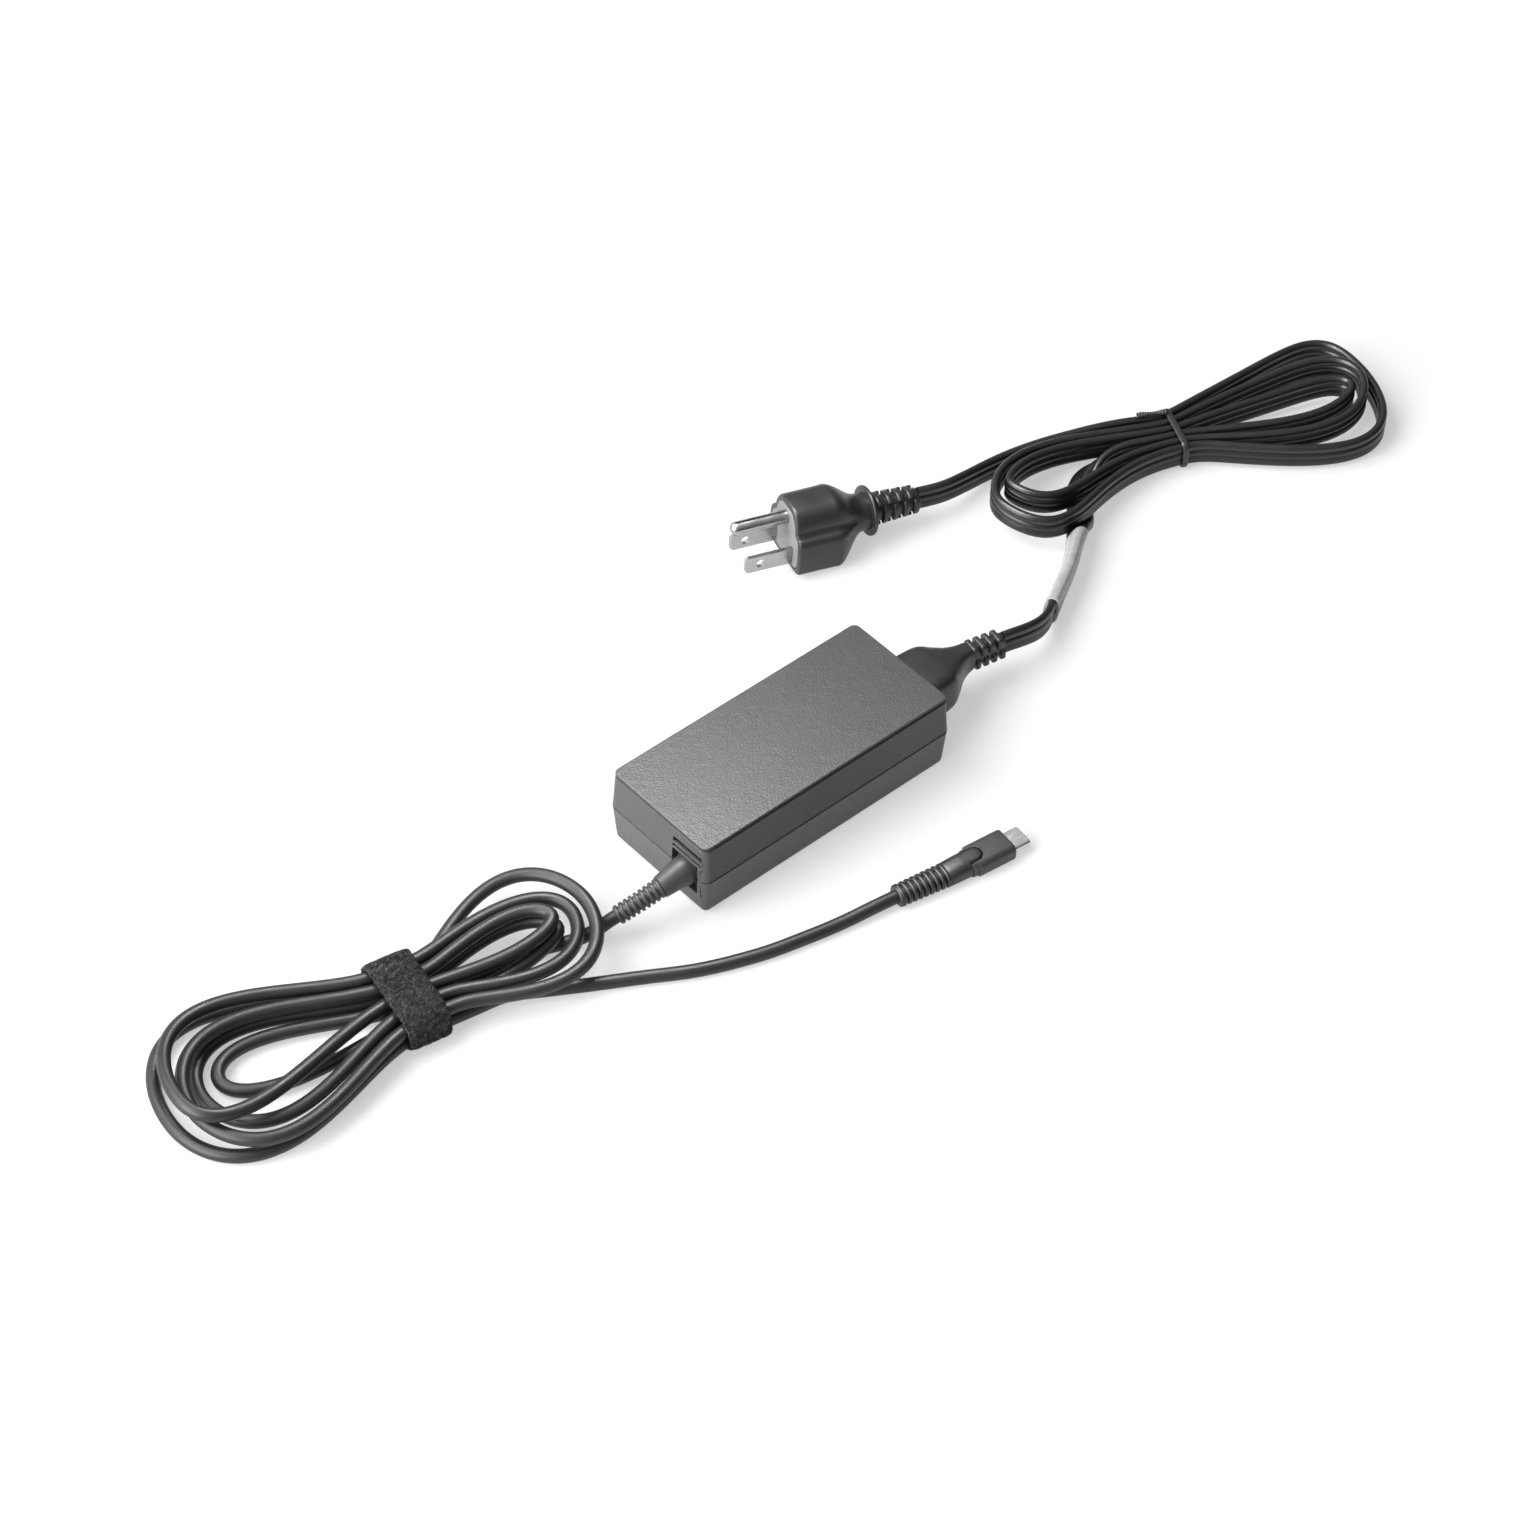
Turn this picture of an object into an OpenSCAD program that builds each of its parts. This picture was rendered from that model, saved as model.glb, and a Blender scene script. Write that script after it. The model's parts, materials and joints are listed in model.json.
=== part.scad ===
// Laptop power adapter: a two-shell brick that stands on its flat base, with a captive output
// cord that ends in a USB-C plug, and a mains cord set that plugs into its inlet.
// Millimetres. X runs along the brick towards the mains inlet, Z is up, the base lies on Z = 0.

/* [Housing] */
// Length of the brick along X
body_length = 105; // [100:1:126]
// Width of the brick along Y
body_width = 47; // [45:1:58]
// Height of the brick
body_height = 30; // [28:0.5:36]
// Height of the line where the two shells meet
parting_height = 15.3; // [14:0.1:17]
// Wall thickness of both shells
wall = 2; // [1.7:0.1:2.6]
// Radius of the upright corners
corner_radius = 4; // [3:0.5:7]
// Draft of the top shell, on each side
top_draft = 1.05; // [0.5:0.05:1.6]
// Draft of the bottom shell, on each side
bottom_draft = 1.2; // [0.5:0.05:1.8]
// Radius of the edge round the top face
top_edge = 1.3; // [0.8:0.1:2.4]
// Radius of the edge round the base
bottom_edge = 2.4; // [1.5:0.1:3.2]
// Depth of the groove along the parting line
parting_groove = 0.3; // [0.1:0.05:0.5]
// Height of the lip that locates the shells
lip_height = 1.6; // [1:0.1:2.4]
// Thickness of the locating lip
lip_thickness = 0.9; // [0.6:0.05:1.1]
// Clearance round the locating lip
lip_clearance = 0.15; // [0.1:0.05:0.3]

/* [Output cord] */
// Diameter of the output cord
dc_cord_d = 4.5; // [4:0.1:4.8]
// Diameter of the neck of the strain relief in the housing
gland_d = 9; // [7.5:0.1:10]
// Clearance of the neck in its hole
gland_clearance = 0.1; // [0.05:0.05:0.25]
// Width of the hook-and-loop strap
strap_width = 20; // [14:0.5:21]
// Thickness of the strap
strap_thickness = 1.2; // [0.8:0.1:1.3]
// Width of the USB-C plug body
usb_body_width = 10.8; // [10:0.1:12.3]
// Height of the USB-C plug body
usb_body_height = 6.5; // [5.6:0.1:6.5]
// Length of the USB-C plug body
usb_body_length = 16.2; // [14:0.1:20]

/* [Mains cord set] */
// Width of the flat mains cord
ac_cord_width = 9.2; // [8.6:0.1:9.4]
// Thickness of the flat mains cord
ac_cord_thickness = 3.1; // [2.8:0.05:3.2]
// Width of the appliance connector's grip
connector_width = 22; // [20:0.5:25]
// Height of the appliance connector's grip
connector_height = 17; // [15:0.5:18]
// Clearance of the connector's nose in the inlet
nose_clearance = 0.35; // [0.2:0.05:0.5]
// Length of the blank sleeve's wall beyond the cord
sleeve_wall = 0.4; // [0.25:0.05:0.5]
// Length of the mains plug's flat blades
blade_length = 17.5; // [16:0.1:18.2]
// Width of the flat blades
blade_width = 6.35; // [6:0.05:6.7]
// Thickness of the flat blades
blade_thickness = 1.5; // [1.4:0.05:1.65]
// Length of the ground pin
ground_length = 21; // [19:0.1:21.4]
// Diameter of the ground pin
ground_d = 4.8; // [4.6:0.05:4.9]

/* [Inside] */
// Thickness of the circuit board
board_thickness = 1.6; // [1.2:0.1:2]
// Height of the board's underside above the base
board_height = 6; // [5.5:0.1:6.5]
// Thickness of the insulation sheet under the board
sheet_thickness = 0.5; // [0.3:0.05:0.8]
// Thickness of the two heat sinks
heat_sink_thickness = 1.5; // [1:0.1:2]

/* [Hidden] */
// Gap left between pieces that touch
seat = 0.05;
// Thickness of the thin plates that shape the shells
skin = 0.01;
plate_fn = 32;
// Half sizes, and how far the two ends stand from where a 105 mm brick has them
half_l = body_length / 2;
half_w = body_width / 2;
dc_shift = 52.5 - half_l;
ac_shift = half_l - 52.5;

// The window in the output end: its Y range, Z range and depth
recess_y = [-21, -7.5];
recess_z = [8, 24];
recess_depth = 1.3;
gland_y = -14;
ledges = [5.4, 7.5];
pad_reach = recess_depth + wall;
// The inlet: its middle, the size of its body and the opening for it
inlet_y = -1;
inlet_z = 13.5;
inlet_size = [16, 21, 15];
inlet_gap = 0.15;
inlet_flange = [2, 24, 18];
ac_pad_reach = wall + 1.2;
// Lobes of the cloverleaf nose and recess: Y, Z from the inlet's middle
lobes = [[-5, -1.4], [5, -1.4], [0, 2.2]];
lobe_r = 4;
nose_length = 12;
recess_length = 13;
nose_gap = 0.5;
pin_d = 2.4;
// The inlet's pins: how far behind the housing's end they start and end, and their tails
pin_span = [3.2, 21.2];
pin_tail_d = 1.4;
sleeve_id = 2.8;
sleeve_od = 4.2;

// The board and what stands on it follow the housing's size
kx = body_length / 105;
ky = body_width / 47;
kz = body_height / 30;
km = min(kx, ky, kz);
board_x = [-48 * kx, 34 * kx];
board_y = 20 * ky;
board_top = board_height + board_thickness;
posts = [[-44.5 * kx, 16.5 * ky], [-44.5 * kx, -16.5 * ky], [31.5 * kx, 16.5 * ky], [31.5 * kx, -16.5 * ky]];
post_d = 5;
post_pin_d = 2.8;
post_gap = 0.15;
// Room left between the pins' ends and the capacitor, and between them and the choke
cap_gap = 1.3;
choke_gap = 0.5;
cap_x = [17 * kx, half_l - pin_span[1] - cap_gap];
choke_x = [17.2 * kx, half_l - pin_span[1] - choke_gap];

// Output cord: the relief's bend, each point with its radius, then the free stretches
relief_top = [[-51.3, -14, 1, 5], [-54, -14, 1, 4.9], [-58, -13.9, 0.93, 4.3], [-62, -13.8, 0.83, 3.8],
              [-66, -13.3, 0.68, 3.4], [-70, -12.5, 0.48, 3.3], [-73.5, -11.5, 0.26, 3.3], [-77, -10.3, 0, 3.2]];
relief_end_z = 8.6;
relief_rib = 0.7;
dc_near = [[-77.1, -10.27, 8.57], [-80, -9.3, 7.1], [-85, -8, 4.8], [-91, -5.6, 3], [-97, -2.4, 2.35],
           [-104, 0, 2.35], [-113, 1, 2.8], [-121, 1.63, 3.7], [-128.9, 3.13, 3.7]];
dc_far = [[-128.9, -8.17, 3.7], [-121, -9.75, 3.7], [-110, -15.5, 2.9], [-98, -22.3, 2.35], [-84.5, -30.2, 2.35],
          [-68.3, -39.8, 2.35], [-50.2, -47.2, 2.35], [-36, -51, 2.35], [-22.6, -53.9, 2.35],
          [-10, -56.2, 3.1], [-2.55, -57.48, 3.3]];

// Output hank: the waist, its cells in two rows, and one end for each half loop:
// reach along X, Y, width going out, width coming back, height
dc_waist_x = -144;
dc_waist_y = 6;
dc_slope = -0.19;
dc_pitch = dc_cord_d + 1.15;
dc_row = dc_cord_d + 0.7;
dc_row_z = dc_cord_d - 0.8;
dc_soft = [0.29, 0.12];
dc_straight = [0.03, 0.1];
dc_tail = 15;
dc_cells = [[0, 0], [-1, 0], [1, 0], [-1, 1], [2, 1], [0, 1], [1, 1], [-2, 1], [2, 0], [-2, 0]];
dc_ends = [[-207.5, 19.5, 9, 8.5, 2.4], [-93, -2.5, 0.5, 9.5, 8], [-215, 16.5, 15, 19, 2.5],
           [-86, 3, 11.5, 9.5, 8.5], [-225.5, 11.5, 21, 14.5, 15], [-94, -0.5, 2.5, 8.5, 13],
           [-222.5, 9.5, 18, 21.5, 9], [-82, 2, 15.5, 20, 12.5], [-228, 13, 24.5, 22, 2.4]];

// USB-C plug: where the back of its body stands, and its turn about Z
usb_at = [23.6, -61.9, usb_body_height / 2 + 0.05];
usb_turn = -7;
usb_shell = [8.25, 2.4, 6.4];
usb_shell_wall = 0.3;
usb_seat_depth = 3;
usb_step = [2.2, 0.9];
tongue = [5.5, 5.2, 1.5];
tongue_groove = 0.35;
usb_relief = [[-2.4, -57.5], [2, -58.3], [7, -59.2], [12, -60.1], [17, -61], [23.6, -61.9]];

// Mains cord: free stretches, each point with its lean in degrees (0 stands on edge, 90 lies flat)
ac_near = [[94.4, -3.23, 12.5, 0], [98, -3.95, 12.5, 0], [107.4, -4.3, 9, 30], [115, -3.2, 5.2, 60],
           [121.9, 1.4, 2.6, 90], [128, 4.8, 2.3, 90], [134.4, 8.5, 2.3, 90], [141, 12.4, 2.3, 90],
           [147.3, 16.8, 2.3, 90], [153, 21, 2.3, 90], [158, 24.8, 2, 90], [163, 28.6, 1.8, 90],
           [167.3, 33, 1.8, 90], [170.6, 37.6, 1.8, 90], [175.5, 41.6, 2, 85], [181.5, 44.6, 3.2, 60],
           [189, 45.2, 4.6, 25], [197.5, 42.25, 5.8, 0], [205.9, 38.45, 5.8, 0]];
ac_far = [[205.9, 51.05, 5.8, 0], [197, 55.05, 5.8, 0], [187, 59.4, 5.2, 0], [177, 63, 4.9, 0],
          [166, 65.8, 4.8, 0], [155.8, 66.8, 5.3, 0], [148, 66.5, 6.4, 0], [140.5, 66, 7.8, 0],
          [132, 66.2, 8.95, 0], [122.72, 69.01, 9.62, 0]];
sleeve_span = [5, 9];
sleeve_fit = 0.1;

// Mains hank: cells side by side, each cord on edge
ac_waist_x = 216;
ac_waist_y = 36;
ac_waist_z = ac_cord_width / 2 + 1.2;
ac_slope = -0.45;
ac_pitch = ac_cord_thickness + 1.1;
ac_soft = [1.25, 0.05];
ac_tail = 10;
ac_cells = [-0.5, 0.5, -1.5, 1.5, -2.5, 2.5];
ac_ends = [[281, 12.5, 3.5, 10, 7.5], [148.5, 51, 1, 16.5, 11.5], [287, 17, 10.5, 15, 8.5],
           [139.5, 45.5, 5, 22, 11.5], [293, 28.5, 24.5, 17, 4.8]];
tie_size = [2.2, 0.8];
tie_turn = -10;

// Mains plug: where the middle of its face stands between the blades, and its turns
plug_at = [75, 83.5, 7.4];
plug_turn = [1, -4, 163];
blade_pitch = 12.7;
blade_hole = [11.9, 3.2];
ground_rise = 11.9;
plug_axis_z = 5.7;
neck_at = 29.8;
flange_size = [17.8, 1.5];
plug_end = 49.5;
plug_relief_r = [5.7, 4.8];
blade_root = 5.5;
// Inside the face the ground pin is this thick, and it has its full size from a little outside
ground_root_d = ground_d - 0.6;
face_proud = 0.15;
ground_start = face_proud + 0.2;
face_scale = 0.84;
face_depth = 6;
// Half of the plug's outline, from the middle of the base up: Y, Z
plug_half = [[5.5, -6.22], [10.2, -6], [12.2, -4.8], [12.8, -2.4], [12.9, 1.5], [12.4, 5.5], [11.4, 8.4],
             [9.7, 10], [8.8, 12], [8.2, 14], [6.8, 16.2], [4.4, 17.6], [1.6, 18.1]];
plug_outline = concat([[0, -6.3]], plug_half,
                      [for (i = [len(plug_half) - 1 : -1 : 0]) [-plug_half[i][0], plug_half[i][1]]]);

// ---- Paths and tubes ----

function unit(v) = v / norm(v);
function place(p) = [p[0], p[1], p[2]];

// A point of a smooth curve between b and c, with a before and d after them
function between(a, b, c, d, t) =
    0.5 * (2 * b + (c - a) * t + (2 * a - 5 * b + 4 * c - d) * t * t + (3 * b - a - 3 * c + d) * t * t * t);

// The point at u of the smooth curve through the points P, where u counts points
function along(P, u) =
    let (i = min(floor(u), len(P) - 2), last = len(P) - 1)
    between(i > 0 ? P[i - 1] : 2 * P[0] - P[1], P[i], P[i + 1],
            i + 2 <= last ? P[i + 2] : 2 * P[last] - P[last - 1], u - i);

// The curve through P with n steps from point to point
function curve(P, n) = [for (k = [0 : (len(P) - 1) * n]) along(P, k / n)];

// Direction of travel at point i
function heading(P, i) = unit(place(P[min(i + 1, len(P) - 1)]) - place(P[max(i - 1, 0)]));

// The section S, given as [across, upward], set square to the path at p and leaning by `lean`
function ring(p, t, lean, S) =
    let (n = unit(cross([0, 0, 1], t)), u = cross(t, n),
         a = n * cos(lean) + u * sin(lean), w = u * cos(lean) - n * sin(lean))
    [for (s = S) p + a * s[0] + w * s[1]];

function round_section(r, sides) = [for (k = [0 : sides - 1]) r * [cos(360 * k / sides), sin(360 * k / sides)]];

// A flat cord's section: three round cores side by side, with a shallow valley between them
function flat_section(w, t) =
    let (c = (w - t) / 2, r = t / 2, v = 0.43 * t)
    [[r, 0], [v, c / 2], [r, c], [0, w / 2], [-r, c], [-v, c / 2],
     [-r, 0], [-v, -c / 2], [-r, -c], [0, -w / 2], [r, -c], [v, -c / 2]];

function oval_section(a, b, power, sides) =
    [for (k = [0 : sides - 1]) let (c = cos(360 * k / sides), s = sin(360 * k / sides))
        [a * sign(c) * pow(abs(c), 2 / power), b * sign(s) * pow(abs(s), 2 / power)]];

// Side triangles of a skin over m rings of n points, turned outward
function skin_faces(m, n, base = 0) =
    [for (k = [0 : m - 2]) for (j = [0 : n - 1]) for (h = [0, 1])
        let (a = base + k * n + j, b = base + k * n + (j + 1) % n)
        h == 0 ? [a, a + n, b + n] : [a, b + n, b]];

// A solid over a list of rings, closed by a flat cap at each end
module rings_solid(R) {
    m = len(R);
    n = len(R[0]);
    polyhedron(points = [for (r = R) for (p = r) p], convexity = 8,
               faces = concat([[for (j = [0 : n - 1]) j]], skin_faces(m, n),
                              [[for (j = [n - 1 : -1 : 0]) (m - 1) * n + j]]));
}

// A tube along P, where each point may carry a lean
module tube(P, S) {
    rings_solid([for (i = [0 : len(P) - 1]) ring(place(P[i]), heading(P, i), len(P[i]) > 3 ? P[i][3] : 0, S)]);
}

// ---- Hanks ----

function bulge(s, soft, straight) =
    let (m = max(0, s - straight) / (1 - straight)) sqrt(m * m + soft * soft) - soft;
function bulge_top(soft, straight) =
    max([for (k = [1 : 99]) sqrt(1 - k * k / 10000) * bulge(k / 100, soft, straight)]);

// Degrees by which the rings crowd towards the waist
crowding = 8;

// One lobe from the waist cell `from` round the end `e` to the cell `to`, in n steps
function lobe(x0, slope, from, to, e, side, soft, straight, n, last) =
    let (top = bulge_top(soft, straight))
    [for (i = [0 : n - (last ? 0 : 1)])
        let (a = 180 * i / n - crowding * sin(360 * i / n), s = sin(a), c = cos(a), q = s * s,
             w = a < 90 ? from : to,
             width = a < 90 ? e[2] : e[3], x = x0 + (e[0] - x0) * s)
        [x,
         w[0] * (1 - q) + e[1] * q + slope * (x - x0) * (1 - q)
         + side * width * c * bulge(s, soft, straight) / top,
         w[1] * (1 - q) + e[4] * q]];

// All lobes in one run, with a straight tail at each end
function hank_path(x0, slope, cells, ends, side, soft, straight, tail, n) =
    let (m = len(ends),
         P = [for (j = [0 : m - 1]) each lobe(x0, slope, cells[j], cells[j + 1], ends[j],
                                              side * (j % 2 == 0 ? 1 : -1),
                                             ends[j][0] < x0 ? soft[0] : soft[1],
                                             ends[j][0] < x0 ? straight[0] : straight[1], n, j == m - 1)],
         a = (ends[0][0] < x0 ? 1 : -1) * tail * [1, slope, 0],
         b = (ends[m - 1][0] < x0 ? 1 : -1) * tail * [1, slope, 0])
    concat([P[0] + a, P[0] + a / 2], P, [P[len(P) - 1] + b / 2, P[len(P) - 1] + b]);

// Smallest distance between points of the path that are more than `skip` points apart;
// `flat` is the part of a cord's width that its round edges do not cover
function least(P, skip, flat) =
    min([for (i = [0 : len(P) - 1 - skip]) for (j = [i + skip : len(P) - 1])
        let (d = P[i] - P[j]) norm([d[0], d[1], max(0, abs(d[2]) - flat)])]);

dc_waist = [for (c = dc_cells) [dc_waist_y + dc_pitch * c[0], dc_row_z + dc_row * c[1]]];
ac_waist = [for (c = ac_cells) [ac_waist_y + ac_pitch * c, ac_waist_z]];
function dc_path(n) = hank_path(dc_waist_x, dc_slope, dc_waist, dc_ends, 1, dc_soft, dc_straight, dc_tail, n);
function ac_path(n) = hank_path(ac_waist_x, ac_slope, ac_waist, ac_ends, -1, ac_soft, [0, 0], ac_tail, n);

// ---- Shapes used more than once ----

// A thin rounded plate, drawn in by `inset` on every side; hulls of these make the shells
module plate(inset, z) {
    r = max(corner_radius - inset, 0.8);
    for (sx = [-1, 1])
        for (sy = [-1, 1])
            translate([sx * (half_l - inset - r), sy * (half_w - inset - r), z])
                cylinder(r = r, h = skin, $fn = plate_fn);
}

// An upright block with rounded corners, drawn in by `inset` on every side
module block(inset, z, h) {
    r = max(corner_radius - inset, 0.8);
    translate([-half_l + inset, -half_w + inset + r, z])
        cube([body_length - 2 * inset, body_width - 2 * inset - 2 * r, h]);
    translate([-half_l + inset + r, -half_w + inset, z])
        cube([body_length - 2 * inset - 2 * r, body_width - 2 * inset, h]);
    for (sx = [-1, 1])
        for (sy = [-1, 1])
            translate([sx * (half_l - inset - r), sy * (half_w - inset - r), z])
                cylinder(r = r, h = h, $fn = 48);
}

module round_rect(w, h, r) {
    square([w - 2 * r, h], center = true);
    square([w, h - 2 * r], center = true);
    for (sx = [-1, 1])
        for (sy = [-1, 1])
            translate([sx * (w / 2 - r), sy * (h / 2 - r)])
                circle(r = r, $fn = 40);
}

// A round-cornered bar from x = 0 along +X, w wide and h high
module bar(length, w, h, r) {
    rotate([90, 0, 90])
        linear_extrude(height = length)
            round_rect(w, h, r);
}

// A box given by its middle on the board, standing on the board
module on_board(x, y, size) {
    translate([x * kx - size[0] * kx / 2, y * ky - size[1] * ky / 2, board_top])
        cube([size[0] * kx, size[1] * ky, size[2] * kz]);
}

module lobe_row(length, r) {
    for (p = lobes)
        translate([0, p[0], p[1]])
            rotate([0, 90, 0])
                cylinder(r = r, h = length, $fn = 48);
}

// ---- Housing ----

module cavity() {
    hull() {
        plate(wall + bottom_draft, wall);
        plate(wall, parting_height);
        plate(wall + top_draft, body_height - wall - skin);
    }
}

// Inside pads that back the window and the inlet, from z0 up to z1
module pads(z0, z1) {
    translate([-half_l + 1.3, recess_y[0] - 2, z0])
        cube([pad_reach - 1.3, recess_y[1] - recess_y[0] + 4, z1 - z0]);
    translate([half_l - ac_pad_reach, inlet_y - 13.5, z0])
        cube([ac_pad_reach - 1.3, 27, z1 - z0]);
}

// Openings cut through both shells: the window, the neck's hole and the inlet
module openings() {
    translate([-half_l - 1, recess_y[0], recess_z[0]])
        cube([1 + recess_depth, recess_y[1] - recess_y[0], recess_z[1] - recess_z[0]]);
    translate([-half_l - 1, gland_y, parting_height])
        rotate([0, 90, 0])
            cylinder(d = gland_d + 2 * gland_clearance, h = pad_reach + 2, $fn = 64);
    translate([half_l - ac_pad_reach - 1, inlet_y - inlet_size[1] / 2 - inlet_gap,
               inlet_z - inlet_size[2] / 2 - inlet_gap])
        cube([ac_pad_reach + 2, inlet_size[1] + 2 * inlet_gap, inlet_size[2] + 2 * inlet_gap]);
}

// The lip's ring, from one inset to another, left out behind the window and the inlet
module lip_ring(a, b, z, h) {
    difference() {
        block(a, z, h);
        block(b, z - 1, h + 2);
        translate([-half_l - 1, recess_y[0] - 2.5, z - 1])
            cube([8, recess_y[1] - recess_y[0] + 5, h + 2]);
        translate([half_l - 7, inlet_y - 14, z - 1])
            cube([8, 28, h + 2]);
    }
}

module top_shell() {
    color("#3f4144")
    difference() {
        union() {
            difference() {
                hull() {
                    plate(parting_groove, parting_height);
                    plate(0, parting_height + parting_groove);
                    for (a = [0 : 22.5 : 90])
                        plate(top_draft + top_edge * (1 - cos(a)), body_height - top_edge * (1 - sin(a)) - skin);
                }
                cavity();
            }
            pads(parting_height, body_height - wall - 1.5);
            // Two ledges across the window, above the strain relief
            for (z = ledges)
                translate([-half_l + 0.5, recess_y[0] + 2, parting_height + z])
                    cube([recess_depth, recess_y[1] - recess_y[0] - 4, 0.8]);
        }
        difference() {
            openings();
            for (z = ledges)
                translate([-half_l + 0.5, recess_y[0] + 2, parting_height + z])
                    cube([recess_depth, recess_y[1] - recess_y[0] - 4, 0.8]);
        }
        lip_ring(wall - lip_thickness - lip_clearance, wall + top_draft + 1, parting_height - 1,
                 lip_height + lip_clearance + 1);
        // Shallow step across the top face at the output end
        translate([-half_l - 1, -half_w, body_height - 0.35])
            cube([4.8, body_width, 1]);
    }
}

module bottom_shell() {
    color("#2f3033")
    union() {
        difference() {
            union() {
                difference() {
                    hull() {
                        for (a = [0 : 22.5 : 90])
                            plate(bottom_draft + bottom_edge * (1 - sin(a)), bottom_edge * (1 - cos(a)));
                        plate(0, parting_height - parting_groove - skin);
                        plate(parting_groove, parting_height - skin);
                    }
                    cavity();
                }
                pads(wall - 0.5, parting_height);
            }
            openings();
            translate([-body_length, -body_width, parting_height])
                cube([2 * body_length, 2 * body_width, body_height]);
        }
        lip_ring(wall - lip_thickness, wall, parting_height - 0.6, lip_height + 0.6);
        // Posts for the board, each with a pin
        for (p = posts)
            translate([p[0], p[1], wall - 0.5]) {
                cylinder(d = post_d, h = board_height - sheet_thickness - wall + 0.5, $fn = 40);
                cylinder(d = post_pin_d, h = board_top - 0.2 - wall + 0.5, $fn = 40);
            }
        // Two ribs under the inlet
        for (y = [-6, 6])
            translate([half_l - 14.5, inlet_y + y - 1, wall - 0.5])
                cube([9, 2, inlet_z - inlet_size[2] / 2 - seat - wall + 0.5]);
    }
}

// ---- Inside the housing ----

module post_holes(z, h) {
    for (p = posts)
        translate([p[0], p[1], z - 1])
            cylinder(d = post_pin_d + 2 * post_gap, h = h + 2, $fn = 40);
}

module circuit_board() {
    color("#2e6b45")
    difference() {
        translate([board_x[0], -board_y, board_height])
            cube([board_x[1] - board_x[0], 2 * board_y, board_thickness]);
        post_holes(board_height, board_thickness);
    }
}

module insulation_sheet() {
    color("#c9c3b0")
    difference() {
        translate([board_x[0], -board_y, board_height - sheet_thickness])
            cube([board_x[1] - board_x[0], 2 * board_y, sheet_thickness]);
        post_holes(board_height - sheet_thickness, sheet_thickness);
    }
}

module ac_inlet() {
    x0 = half_l - 0.2 - inlet_size[0];
    color("#222325")
    difference() {
        union() {
            translate([x0, inlet_y - inlet_size[1] / 2, inlet_z - inlet_size[2] / 2])
                cube(inlet_size);
            translate([half_l - ac_pad_reach - seat - inlet_flange[0], inlet_y - inlet_flange[1] / 2,
                       inlet_z - inlet_flange[2] / 2])
                cube(inlet_flange);
        }
        translate([half_l - 0.2 - recess_length, inlet_y, inlet_z])
            lobe_row(recess_length + 1, lobe_r + nose_clearance);
        translate([x0 - 1, inlet_y, inlet_z])
            lobe_row(5, pin_d / 2 + seat);
    }
}

module inlet_pins() {
    color("#b9bcc0")
    for (p = lobes)
        translate([half_l, inlet_y + p[0], inlet_z + p[1]]) {
            rotate([0, -90, 0])
                translate([0, 0, pin_span[0]])
                    cylinder(d = pin_d, h = pin_span[1] - pin_span[0], $fn = 32);
            translate([-pin_span[0], 0, 0])
                sphere(d = pin_d, $fn = 32);
            // Tail down to the board
            translate([pin_tail_d / 2 - pin_span[1], 0, -(inlet_z + p[1] - board_top)])
                cylinder(d = pin_tail_d, h = inlet_z + p[1] - board_top, $fn = 24);
        }
}

module input_fuse() {
    color("#5a3a2e")
    translate([26 * kx, 14.5 * ky, board_top])
        cylinder(r = 4.2 * km, h = 8 * kz, $fn = 40);
}

module x_capacitor() {
    color("#c8b23a")
    translate([cap_x[0], ky, board_top])
        cube([cap_x[1] - cap_x[0], 6 * ky, 12 * kz]);
}

module y_capacitors() {
    color("#2f6fb0")
    for (x = [1, 11])
        translate([x * kx, 1.75 * km, board_top + 4.4 * km])
            rotate([90, 0, 0])
                cylinder(r = 4 * km, h = 3.5 * km, $fn = 40);
    color("#b9bcc0")
    for (x = [1, 11])
        for (s = [-1, 1])
            translate([x * kx + s * 2.5 * km, 0, board_top])
                cylinder(d = 0.7, h = 3 * km, $fn = 16);
}

module common_mode_choke() {
    r = min(6.8 * km, (choke_x[1] - choke_x[0]) / 2);
    color("#8a4b22")
    translate([(choke_x[0] + choke_x[1]) / 2, -11 * ky, board_top])
        difference() {
            cylinder(r = r, h = 9 * kz, $fn = 48);
            translate([0, 0, 1.2 * kz])
                cylinder(r = r - 4.2 * km, h = 9 * kz, $fn = 48);
        }
}

module bridge_rectifier() {
    color("#26272a")
    on_board(8, 15, [14, 4, 11]);
}

module bulk_capacitor() {
    r = 8 * km;
    color("#2b3f66")
    translate([-12 * kx, -11.8 * ky, board_top + r])
        rotate([0, 90, 0])
            difference() {
                cylinder(r = r, h = 28 * kx, $fn = 48);
                // Rolled bead near the sleeve's end
                translate([0, 0, 25 * kx])
                    difference() {
                        cylinder(r = r + 1, h = 1, $fn = 48);
                        cylinder(r = r - 0.5, h = 1, $fn = 48);
                    }
            }
}

module primary_heat_sink() {
    color("#b5b8bc")
    translate([-12 * kx, 4.6 * ky, board_top])
        cube([25 * kx, heat_sink_thickness, 17 * kz]);
}

module switching_transistor() {
    color("#26272a")
    translate([-9 * kx, 4.6 * ky + heat_sink_thickness + seat, board_top + 3 * kz])
        cube([10 * kx, 4.4 * km, 9 * kz]);
    color("#b9bcc0")
    for (x = [-6.5, -4, -1.5])
        translate([x * kx, 4.6 * ky + heat_sink_thickness + 2.2, board_top])
            cylinder(d = 0.8, h = 4 * kz, $fn = 16);
}

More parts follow.
